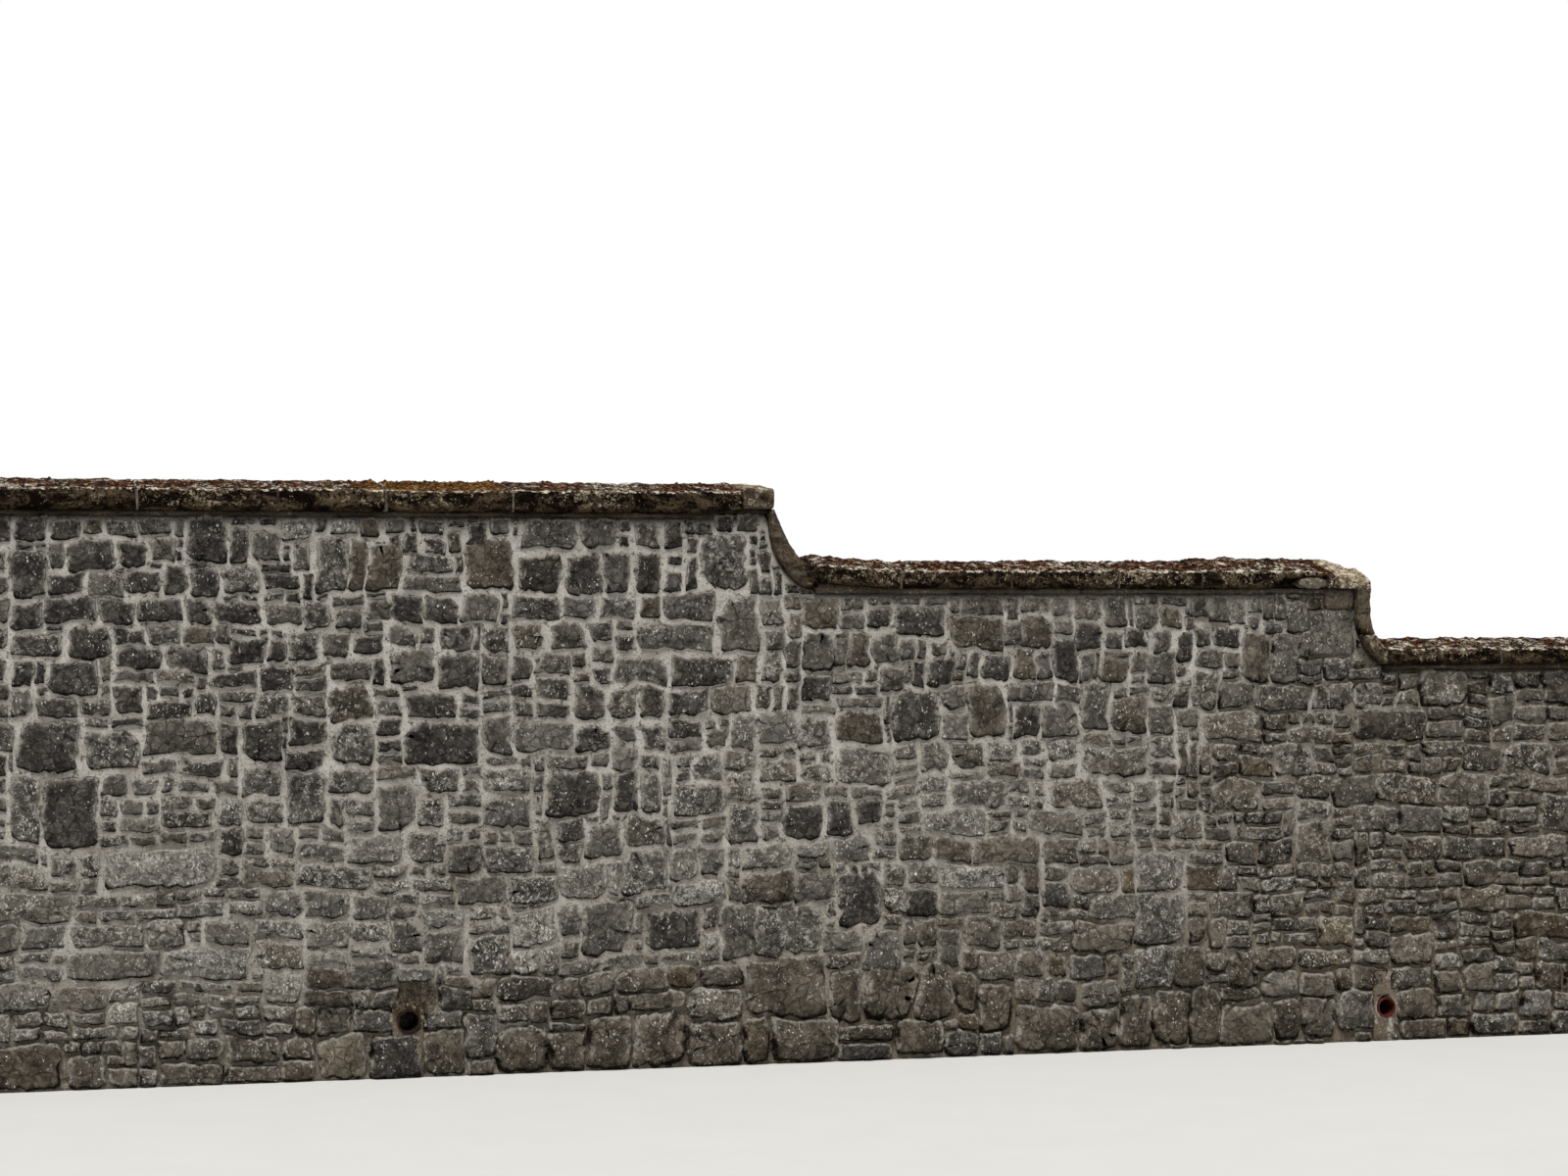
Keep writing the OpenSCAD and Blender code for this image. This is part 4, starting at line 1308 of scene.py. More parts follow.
class WALL_OT_rubble(bpy.types.Operator):
    """Lays the rubble stones of both faces and both ends, bay by bay"""

    bl_idname = "stepped_wall.rubble"
    bl_label = "Rubble stones"

    def execute(self, context):
        scene = context.scene
        settings = scene.wall_rubble
        curves = RampCurves(scene.wall_ramps)
        finish = limestone(scene.wall_colours)
        faces = wall_faces(curves)
        gathered = {}
        for number, (name, face) in enumerate(faces.items()):
            start, stop = face.ends
            columns = int(round((stop - start) / settings.cell))
            rows = int(HIGH_TOP / settings.cell) + 4
            long_face = name in ("front", "back")
            blocked = blocked_boxes(name == "front") if long_face else []
            if name == "back":
                blocked = [(-b, -a, c, d) for a, b, c, d in blocked]
            free = face_mask(face, rows, columns, start, settings.cell, blocked)
            placed = measured_blocks(face) if name == "front" else ()
            seed = settings.seed + number
            blocks = lay_stones(free, start, settings.cell, settings.smallest, face.side,
                                seed, placed)
            rng = random.Random(seed + 100)
            for block in blocks:
                middle = face.side * (block.box[0] + block.box[1]) / 2
                bay = {"left": "high", "right": "low"}.get(name) or bay_of(middle)
                where = bay + ("_back" if name == "back" else "_front")
                heads = gathered.setdefault(where, Heads())
                carve(block, face, heads, settings, rng, name != "back")
        for where, heads in gathered.items():
            mesh = new_mesh(where, heads.points, heads.faces, heads.looks)
            nodes = BAY_NODES[where.split("_")[0]]
            add_piece(where + "_rubble", mesh, finish, nodes)
        return {"FINISHED"}


class WALL_OT_pointing(bpy.types.Operator):
    """Makes the mortar that fills each bay between and behind the stones"""

    bl_idname = "stepped_wall.pointing"
    bl_label = "Pointing mortar"

    def execute(self, context):
        scene = context.scene
        settings = scene.wall_rubble
        curves = RampCurves(scene.wall_ramps)
        finish = pointing(scene.wall_colours)
        breaks = [WALL_LEFT, NOSE_1_X, curves.back[0] - curves.ramps.back_r, TOE_1,
                  SLAB_2_X, TOE_2, WALL_RIGHT]
        for bay, left, right in (("high", WALL_LEFT, TOE_1), ("mid", TOE_1, TOE_2),
                                 ("low", TOE_2, WALL_RIGHT)):
            inside = [b for b in breaks if left < b < right]
            columns = [left]
            for stop in (*inside, right):
                begin = columns[-1]
                count = max(1, round((stop - begin) / settings.mortar_step))
                columns += [begin + (stop - begin) * (k + 1) / count for k in range(count)]
                if stop != right:
                    columns.append(stop + 0.0006)
            mesh = self.core(columns, curves, settings)
            add_piece(bay + "_pointing", mesh, finish, BAY_NODES[bay])
        return {"FINISHED"}

    def core(self, columns, curves, settings):
        """Closed block of mortar with rough faces under a stepped or curved top."""
        rows = round(HIGH_TOP / settings.mortar_step)
        stations = []
        last = len(columns) - 1
        for i, x in enumerate(columns):
            top = curves.masonry_top(x)
            ring = []
            for side in (-1, 1):
                heights = np.linspace(0, top, rows if side == -1 else rows // 2)
                if side == 1:
                    heights = heights[::-1]
                for k, z in enumerate(heights):
                    y = side * (FACE - self.recess(x, side * FACE, z, settings))
                    if k in (0, len(heights) - 1):
                        y = side * (FACE - CORE_INSET)
                    ring.append((x, y, z))
                # Both rows run one way, so the top one folds back over itself: a known
                # fault, hidden under the beds and seen only as dark joints on the far ends
                level = top if side == -1 else 0.0
                ring += [(x, (FACE - CORE_INSET) * (1 - 2 * k / CORE_STEPS), level)
                         for k in range(1, CORE_STEPS)]
            end = 0.0
            if i in (0, last) and abs(x) > WALL_RIGHT - 0.01:
                end = 0.006 * (1 if i == 0 else -1)
            stations.append([(p[0] + end, p[1], p[2]) for p in ring])
        mesh = loft(stations)
        looks = []
        for vert in mesh.vertices:
            x, z = vert.co.x, vert.co.z
            # Damp stain and painted shade just under the bed and coping
            damp_and_shade = 1 - smooth(curves.masonry_top(x) - z, 0.004, 0.035)
            # An end's faces are too large to fade it within the bed's shade
            if not WALL_LEFT + 0.01 < x < WALL_RIGHT - 0.01:
                damp_and_shade = 0.0
            looks.append((dirt_at(x, z), brown_at(x, z), damp_and_shade, 0.8 * eaten_at(x, z)))
        return smoothed(mesh, looks)

    def recess(self, x, y, z, settings):
        """Depth of the pointing behind the face: ragged, and deep at the foot."""
        deep = settings.recess + 0.007 * (1 - smooth(z, 0.2, 0.5))
        deep += 0.008 * open_at(x, z) + 0.014 * eaten_at(x, z)
        ragged = 0.007 * lump(x, y, z, 9, 2.0) + 0.005 * lump(x, y, z, 24, 4.0)
        for pipe in PIPES:
            a, b = box(pipe + "_pipe")
            if (a.x - PIPE_SPACE < x < b.x + PIPE_SPACE
                    and a.z - PIPE_SPACE < z < b.z + PIPE_SPACE):
                return PIPE_HOLLOW
        return max(deep - ragged, -0.001)


# Copings

def coping_outline(edge, rise, half, drip, step):
    """Outline of a saddleback coping in Y and Z, front arris and ridge included."""
    corners = [(-half + drip, 0.0), (half - drip, 0.0), (half, drip), (half, edge - 0.008),
               (half - 0.006, edge + 0.002), (0.012, edge + rise - 0.001),
               (-0.012, edge + rise - 0.001), (-half + 0.006, edge + 0.002),
               (-half, edge - 0.008), (-half, drip)]
    out = []
    for k, corner in enumerate(corners):
        after = corners[(k + 1) % len(corners)]
        length = math.dist(corner, after)
        spacing = step if k != 0 else step * 3
        count = max(1, round(length / spacing))
        for j in range(count):
            t = j / count
            out.append((corner[0] + (after[0] - corner[0]) * t,
                        corner[1] + (after[1] - corner[1]) * t))
    return out


def gold_at(x):
    """1 on the stretch where the moss is a golden carpet."""
    return 1 - smooth(abs(x - STEP_1 + GOLD_FROM_STEP), 0.22, 0.38)


def moss_at(x):
    """How much moss grows on the coping at x: a carpet, patches, and a tuft by nose 2."""
    tuft = 1 - smooth(abs(x - NOSE_2_X - 0.01), 0.03, 0.07)
    return 0.24 + 0.36 * lump(x, 0, 0, 2.3, 4.0) + 0.9 * gold_at(x) + 0.8 * tuft


def coping_look(moss_gain=1.0, pale=0.0, bare=0.0):
    """Finish of a coping's point: crust and moss on top, lichen on the sides, kept off the
    undersides and the bottom edge as painted shade.
    """
    def look(p, n):
        up = smooth(n.z, 0.25, 0.75)
        arris = smooth(abs(p.y), COPING_HALF - 0.05, COPING_HALF - 0.012)
        moss = clamp(moss_at(p.x) * moss_gain) * smooth(n.z, 0.6, 0.95) * (1 - 0.85 * arris)
        side = clamp(0.5 + pale + 0.7 * lump(p.x, p.y, p.z, 3.0, 2.0))
        # Painted shade: no pale lichen on faces that turn down or on the bottom few centimetres,
        # so they stay dark
        side *= smooth(n.z, -0.6, -0.1)
        foot = min(abs(p.z - level) for level in (HIGH_BASE, MID_BASE, LOW_BASE))
        side *= smooth(foot, 0.006, 0.026)
        last = max(bare, gold_at(p.x) * smooth(n.z, 0.6, 0.9))
        return (clamp(up * (0.72 + 0.28 * arris)), moss, side, clamp(last))
    return look


def straight_coping(node, base, edge, rise, settings):
    """Stations of a straight coping that fills its node's run."""
    a, b = box(node)
    outline = coping_outline(edge, rise, COPING_HALF, settings.drip, settings.step)
    count = max(3, round((b.x - a.x) / settings.step))
    return [[(x, y, base + z) for y, z in outline] for x in steps(a.x, b.x, count)]


class WALL_OT_copings(bpy.types.Operator):
    """Makes the saddleback coping units of all three bays"""

    bl_idname = "stepped_wall.copings"
    bl_label = "Saddleback copings"

    def execute(self, context):
        scene = context.scene
        settings = scene.wall_copings
        finish = coping_finish(scene.wall_colours)
        rows = (("high", 7, HIGH_BASE, settings.edge_high),
                ("mid", 5, MID_BASE, settings.edge_mid),
                ("low", 5, LOW_BASE, settings.edge_low))
        for bay, count, base, edge in rows:
            for number in range(1, count + 1):
                node = f"{bay}_coping_{number}"
                tipped = node == "mid_coping_1"
                rise = high("mid_coping_2" if tipped else node).z - base - edge
                stations = straight_coping(node, base, edge, rise, settings)
                if tipped:
                    stations = self.tip(stations, scene.wall_ramps.toe_lift)
                if node == "mid_coping_5":
                    stations = self.broken(stations)
                seed = number * 3.7 + edge * 100
                crust = settings.crust * (0.7 if bay == "high" else 1.0)
                mesh = weather(loft(stations), rough=0.0022, chips=settings.chips, seed=seed,
                               look=coping_look(), crust=crust)
                add_piece(node + "_stone", mesh, finish, (node,))
            self.joints(bay, count, base, edge, scene)
        return {"FINISHED"}

    def joints(self, bay, count, base, edge, scene):
        """Mortar in the joints between a bay's units, a little behind their faces."""
        settings = scene.wall_copings
        mortar = pointing(scene.wall_colours)
        parts = bmesh.new()
        for number in range(1, count):
            left = high(f"{bay}_coping_{number}").x - 0.004
            right = low(f"{bay}_coping_{number + 1}").x + 0.004
            rise = high(f"{bay}_coping_{min(number + 1, count - 1)}").z - base - edge
            outline = coping_outline(edge - 0.004, rise - 0.002, COPING_HALF - 0.007,
                                     settings.drip, settings.step)
            stations = [[(x, y, base + z) for y, z in outline]
                        for x in (left, (left + right) / 2, right)]
            mesh = weather(loft(stations), rough=0.002, chips=0.0, seed=number,
                           look=self.joint_look, crust=0.002)
            parts.from_mesh(mesh)
            bpy.data.meshes.remove(mesh)
        joined = bpy.data.meshes.new("joints")
        parts.to_mesh(joined)
        parts.free()
        add_piece(bay + "_coping_joints", smoothed(joined), mortar)

    def joint_look(self, p, n):
        """Dirty mortar, darker in patches."""
        return (0.8, 0.6, clamp(0.45 + 1.3 * lump(p.x, p.y, p.z, 9, 2.0)), 0.0)

    def tip(self, stations, lift):
        """Lifts the end that meets the first ramp's toe."""
        x0 = stations[0][0][0]
        x1 = stations[-1][0][0]
        return reshaped(stations, lambda x, y, z: (x, y, z + lift * (x1 - x) / (x1 - x0)))

    def broken(self, stations):
        """Takes out the broken lower front edge beside the second nose."""
        hollow = box("wedge_stone")
        depth = hollow[1].y - hollow[0].y
        start = NOSE_2_X - BREAK_RUN

        def move(x, y, z):
            wave = 0.010 * lump(x, 0, 0, 14, 5.0)
            roof = MID_BASE + BREAK_RISE * smooth(x, start - 0.01, start + 0.05) + wave
            if x > start and z < roof and y < -COPING_HALF + depth:
                y = -COPING_HALF + depth * (0.85 + 3 * wave)
                if z < MID_BASE + 0.004:
                    z = MID_BASE
            return (x, y, z)

        return reshaped(stations, move)


class WALL_OT_noses(bpy.types.Operator):
    """Makes the two hipped nose blocks that end the upper copings"""

    bl_idname = "stepped_wall.noses"
    bl_label = "Nose blocks"

    def execute(self, context):
        finish = coping_finish(context.scene.wall_colours)
        edge = context.scene.wall_copings.edge_high
        rise = high("nose_1").z - NOSE_1_BASE - edge
        self.nose("nose_1", NOSE_1_BASE, edge, rise, hip=0.065, drop=rise, worn=0.8,
                  finish=finish, look=self.spotted_look)
        rise = high("nose_2").z - MID_BASE - WORN_EDGE
        self.nose("nose_2", MID_BASE, WORN_EDGE, rise, hip=0.08, drop=0.030, worn=0.5,
                  finish=finish, look=self.worn_look)
        return {"FINISHED"}

    def spotted_look(self, p, n):
        """Clean grey-brown front on the first nose, with one dark spot near its end."""
        spot = 1 - smooth(math.hypot(p.x - STEP_1 + 0.045, p.z - NOSE_1_BASE - 0.05), 0.01, 0.03)
        crust, moss, side, bare = coping_look(moss_gain=0.25, pale=0.2, bare=0.85)(p, n)
        return (crust * (1 - spot), moss, side * (1 - spot), bare * (1 - spot))

    def worn_look(self, p, n):
        """Cream lichen on the second nose, with dark moss at its left."""
        up = smooth(n.z, 0.2, 0.7)
        slant = p.x + 0.25 * (p.z - MID_BASE)
        left = 1 - smooth(slant, NOSE_2_X + 0.04, NOSE_2_X + 0.07)
        return (0.80 + 0.15 * up, clamp(1.1 * left * up), 0.8, 0.9 * (1 - left))

    def nose(self, node, base, edge, rise, hip, drop, worn, finish, look):
        """A saddleback block whose end is hipped down by drop over the run hip."""
        settings = bpy.context.scene.wall_copings
        a, b = box(node)
        outline = coping_outline(edge, rise, COPING_HALF, settings.drip * 0.8,
                                 settings.step * 0.8)
        count = max(6, round((b.x - a.x) / (settings.step * 0.75)))
        stations = []
        for x in steps(a.x, b.x, count):
            down = drop * max(0.0, (x - b.x + hip) / hip) ** 1.3
            roof = base + edge + rise - down
            stations.append([(x, y, min(base + z, roof)) for y, z in outline])
        mesh = weather(loft(stations), rough=0.0025, chips=settings.chips * worn, seed=base,
                       look=look, crust=0.004)
        add_piece(node + "_stone", mesh, finish, (node,))


# Steps along the ramps' curves, and rows of points along each finished stone
CURVE_STEPS = 24
SWEEP_ROWS = 40
SLAB_ROWS = 26
TOE_ROWS = 12


class WALL_OT_ramps(bpy.types.Operator):
    """Makes the two swept ramp copings with their crowned faces"""

    bl_idname = "stepped_wall.ramps"
    bl_label = "Swept ramps"

    def execute(self, context):
        scene = context.scene
        settings = scene.wall_copings
        ramps = scene.wall_ramps
        curves = RampCurves(ramps)
        finish = coping_finish(scene.wall_colours)
        front = resample(curves.front_1(CURVE_STEPS), SWEEP_ROWS)
        # The top end is worn back under the nose
        for point in front:
            point[0] -= 0.010 * smooth(point[1], NOSE_1_BASE - 0.07, NOSE_1_BASE)
        back = resample(curves.back_1(CURVE_STEPS), SWEEP_ROWS)
        mesh = loft(self.sections(front, back, ramps.crown))
        mesh = weather(mesh, rough=0.003, chips=settings.chips * 0.8, seed=4.0,
                       look=self.swept_look, crust=0.004)
        add_piece("ramp_1_stone", mesh, finish, ("ramp_1",))
        cut = low("ramp_2").z
        front, front_toe = self.split(curves.front_2(CURVE_STEPS), cut)
        back, back_toe = self.split(curves.back_2(CURVE_STEPS), cut)
        front = resample(front, SLAB_ROWS)
        head = high("ramp_2").z
        # The head's shoulder is worn round
        for point in front:
            over = max(0.0, point[1] - (head - ramps.worn)) / ramps.worn
            point[0] -= 0.6 * ramps.worn * over * over
        stations = self.sections(front, resample(back, SLAB_ROWS), ramps.crown)
        mesh = loft(self.roofed(stations, head))
        mesh = weather(mesh, rough=0.003, chips=settings.chips * 0.6, seed=6.0,
                       look=self.slab_look, crust=0.004)
        add_piece("ramp_2_stone", mesh, finish, ("ramp_2",))
        front = resample(front_toe, TOE_ROWS)
        back = resample(back_toe, TOE_ROWS)
        mesh = loft(self.sections(front, back, ramps.crown))
        mesh = weather(mesh, rough=0.0025, chips=settings.chips, seed=8.0, crust=0.004,
                       look=coping_look(moss_gain=0.1, pale=0.7, bare=0.6))
        add_piece("ramp_2_toe_stone", mesh, finish, ("ramp_2_toe",))
        return {"FINISHED"}

    def swept_look(self, p, n):
        """Bare and brown above, darker and crusted like the coping at the toe."""
        toe = smooth(p.x, STEP_1 + 0.10, STEP_1 + 0.17)
        up = smooth(n.z, 0.4, 0.85)
        moss = clamp(0.5 + lump(p.x, p.y, p.z, 5, 3.0)) * (0.3 + 0.7 * toe) * up
        return (up * (0.45 + 0.4 * toe), moss, 0.35, 0.75 * (1 - toe))

    def slab_look(self, p, n):
        """Cream lichen on the second ramp's head, brown and grainy below it."""
        head = smooth(p.z, MID_BASE - 0.02, MID_BASE + 0.03)
        foot = smooth(p.z, low("ramp_2").z + 0.01, low("ramp_2").z + 0.09)
        foot = max(foot, smooth(p.x, SLAB_2_X + 0.035, SLAB_2_X + 0.06))
        return (clamp(0.9 * head + 0.2 * n.z), 0.0, 0.5 + 0.4 * head, 0.85 * foot)

    def roofed(self, stations, head):
        """Carries the worn slopes of the second nose on over the ramp's head."""
        start = MID_BASE - 0.05
        ridge = high("nose_2").z
        eaves = MID_BASE + WORN_EDGE

        def move(x, y, z):
            roof = min(head, ridge - (ridge - eaves) * abs(y) / COPING_HALF)
            if z > start:
                z = start + (z - start) * (roof - start) / (head - start)
            return (x, y, z)

        return reshaped(stations, move)

    def split(self, line, level):
        """The part of a falling line above a level, and the part below it."""
        upper = [p for p in line if p[1] > level]
        lower = [p for p in line if p[1] <= level]
        a, b = upper[-1], lower[0]
        t = (a[1] - level) / (a[1] - b[1])
        cut = (a[0] + (b[0] - a[0]) * t, level)
        return [*upper, cut], [cut, *lower]

    def sections(self, front, back, crown):
        """Closed outlines across the wall, crowned on the weathered side."""
        across = 30
        deep = 5
        ys = [COPING_HALF * (2 * k / across - 1) for k in range(across + 1)]
        out = []
        for f, b in zip(front, back):
            outward = (f - b) / np.linalg.norm(f - b)
            ring = []
            for y in ys:
                p = f + outward * crown * (1 - abs(y) / COPING_HALF)
                ring.append((p[0], y, p[1]))
            ring += self.side(f, b, COPING_HALF, deep)
            ring += [(b[0], -y, b[1]) for y in ys]
            ring += self.side(b, f, -COPING_HALF, deep)
            out.append(ring)
        return out

    def side(self, start, stop, y, count):
        """Points of an outline's front or back side, between its corners."""
        places = [start + (stop - start) * k / count for k in range(1, count)]
        return [(p[0], y, p[1]) for p in places]


def rough_box(a, b, step):
    """Stations of a box from corner a to corner b, on a fine grid."""
    ys = np.linspace(a.y, b.y, max(2, round((b.y - a.y) / step)) + 1)
    zs = np.linspace(a.z, b.z, max(2, round((b.z - a.z) / step)) + 1)
    ring = [(y, a.z) for y in ys[:-1]] + [(b.y, z) for z in zs[:-1]]
    ring += [(y, b.z) for y in ys[:0:-1]] + [(a.y, z) for z in zs[:0:-1]]
    count = max(2, round((b.x - a.x) / step))
    return [[(x, y, z) for y, z in ring] for x in steps(a.x, b.x, count)]


class WALL_OT_corner_stones(bpy.types.Operator):
    """Makes the wedge stone, the seat block and the corner block at the second step"""

    bl_idname = "stepped_wall.corner_stones"
    bl_label = "Corner stones"

    def execute(self, context):
        scene = context.scene
        colours = scene.wall_colours
        a, b = box("seat_block")
        top = b.z
        mesh = loft(rough_box(a, b, 0.016))
        # Pointing finish whose damp stain and painted shade deepen over the block's top 3 cm
        mesh = weather(mesh, rough=0.006, chips=0.020, seed=3.0, look=lambda p, n: (
            1.0, 1.0, 0.45 + 0.3 * smooth(p.z, top - 0.03, top), 0.0))
        add_piece("seat_block_stone", mesh, pointing(colours),
                  ("seat_block",))
        finish = limestone(colours)
        a, b = box("corner_block")
        mesh = loft(rough_box(a, b, 0.018))
        mesh = weather(mesh, rough=0.006, chips=0.022, seed=5.0,
                       look=lambda p, n: (0.52, 0.25, 0.5, 0.25))
        add_piece("corner_block_stone", mesh, finish, ("corner_block",))
        a, b = box("wedge_stone")
        mesh = loft(rough_box(a, b, 0.012))
        middle = (a.z + b.z) / 2
        for vert in mesh.vertices:
            t = (vert.co.x - a.x) / (b.x - a.x)
            pinch = 1 - 0.45 * abs(2 * t - 1) ** 2.2
            vert.co.z = middle + (vert.co.z - middle) * pinch
        mesh = weather(mesh, rough=0.004, chips=0.012, seed=7.0,
                       look=lambda p, n: (0.62, 0.65, 0.5, 0.5))
        add_piece("wedge_stone_worn", mesh, finish, ("wedge_stone",))
        return {"FINISHED"}


class WALL_OT_beds(bpy.types.Operator):
    """Makes the ragged mortar bed under each bay's coping"""

    bl_idname = "stepped_wall.beds"
    bl_label = "Mortar beds"

    def execute(self, context):
        scene = context.scene
        finish = pointing(scene.wall_colours)
        # How much damp stain and painted shade each bay's bed carries under its coping
        for bay, damp_and_shade in (("high", 0.80), ("mid", 0.55), ("low", 0.80)):
            a, b = box(bay + "_bed")

            def look(p, n):
                """Dirty brown mortar, with damp stain and painted shade under the coping, darker
                and lighter along the bay.
                """
                return (1.0, 1.0, clamp(damp_and_shade + 0.5 * lump(p.x, 0, 0, 4, 3.0)), 0.0)

            mesh = weather(self.bed(bay, a, b), rough=0.005, chips=0.006, seed=a.x, look=look)
            add_piece(bay + "_bed_ragged", mesh, finish, (bay + "_bed",))
        return {"FINISHED"}

    def bed(self, bay, a, b):
        """Stations along the bed, following the lift at each end."""
        lift = bpy.context.scene.wall_ramps.toe_lift
        count = round((b.x - a.x) / 0.02)
        first = low("mid_coping_2").x
        out = []
        for x in steps(a.x, b.x, count):
            z0, z1 = a.z, b.z
            if bay == "high":
                z1 = HIGH_BASE
                if x >= NOSE_1_X:
                    z0, z1 = z0 + NOSE_1_BASE - HIGH_BASE, NOSE_1_BASE
            if bay == "mid":
                z1 = MID_BASE + lift * clamp((first - x) / (first - a.x))
                if NOSE_2_X < x:
                    z1 = MID_BASE
            bulge = 0.010 + 0.010 * lump(x, 0, 0, 6.0, 9.0) + 0.008 * lump(x, 0, 0, 23, 1.0)
            if bay == "high":
                bulge *= 0.4
            wide = b.y + bulge
            ring = []
            for side, z in ((1, z0), (-1, z1)):
                ring += [(x, -side * wide * (1 - 2 * k / CORE_STEPS), z)
                         for k in range(CORE_STEPS + 1)]
                ring.append((x, side * wide, (z0 + z1) / 2))
            out.append(ring)
        return loft(out)


class WALL_OT_weeps(bpy.types.Operator):
    """Makes the mortar round the two weep pipes and finishes the pipes"""

    bl_idname = "stepped_wall.weeps"
    bl_label = "Weep holes"

    def execute(self, context):
        colours = context.scene.wall_colours
        finish = pointing(colours)
        finishes = {"high_weep": iron_finish(colours), "low_weep": clay_finish(colours)}
        for pipe in PIPES:
            node = pipe + "_collar"
            a, b = box(node)
            pa, pb = box(pipe + "_pipe")
            mesh = self.collar(a, b, pa, pb)
            centre = (pa + pb) / 2
            reach = (pb.x - pa.x) / 2
            limy = pipe == "low_weep"

            def look(p, n):
                """Dirty brown mortar, limy round the clay pipe and in a streak under it."""
                away = math.hypot(p.x - centre.x, p.z - centre.z) - reach
                lime = 1 - smooth(away, 0.002, 0.010)
                if p.z < centre.z:
                    lime = max(lime, 1 - smooth(abs(p.x - centre.x - 0.02), 0.004, 0.014))
                lime *= limy
                return (1 - lime, 0.8 * (1 - lime), 0.1, 0.0 if limy else eaten_at(p.x, p.z))

            mesh = weather(mesh, rough=0.005, chips=0.010, seed=a.x, look=look)
            add_piece(node + "_worn", mesh, finish, (node,))
            tube = frame["nodes"][pipe + "_pipe"]
            tube.data.materials.clear()
            tube.data.materials.append(finishes[pipe])
        return {"FINISHED"}

    def collar(self, a, b, pa, pb):
        """Closed block with a round bore, as rings from the bore out and back."""
        centre = (pa + pb) / 2
        bore = (pb.x - pa.x) / 2
        turns = 48
        half = (b.x - a.x) / 2
        loops = []
        for y, order in ((a.y, (0.0, 0.1, 0.25, 0.6, 1.0)), (b.y, (1.0, 0.6, 0.25, 0.1, 0.0))):
            for t in order:
                loop = []
                for k in range(turns):
                    bearing = 2 * math.pi * k / turns
                    c, s = math.cos(bearing), math.sin(bearing)
                    reach = half / max(abs(c), 1e-6)
                    tall = (b.z - centre.z) if s > 0 else (centre.z - a.z)
                    reach = min(reach, tall / max(abs(s), 1e-6))
                    r = bore + (reach - bore) * t
                    loop.append((centre.x + r * c, y, centre.z + r * s))
                loops.append(loop)
        faces = []
        for i in range(len(loops)):
            faces += bridge(i * turns, (i + 1) % len(loops) * turns, turns)
        return turned_out(new_mesh("collar", [p for loop in loops for p in loop], faces))


# Moss attribute from which cushions grow, and from which they stand full
MOSS_FROM = 0.22
MOSS_FULL = 0.85
# Noise that breaks the moss into patches: below the first bare, above the second full
GAP_BELOW = 0.46
GAP_ABOVE = 0.60
MOSS_SEED = 5


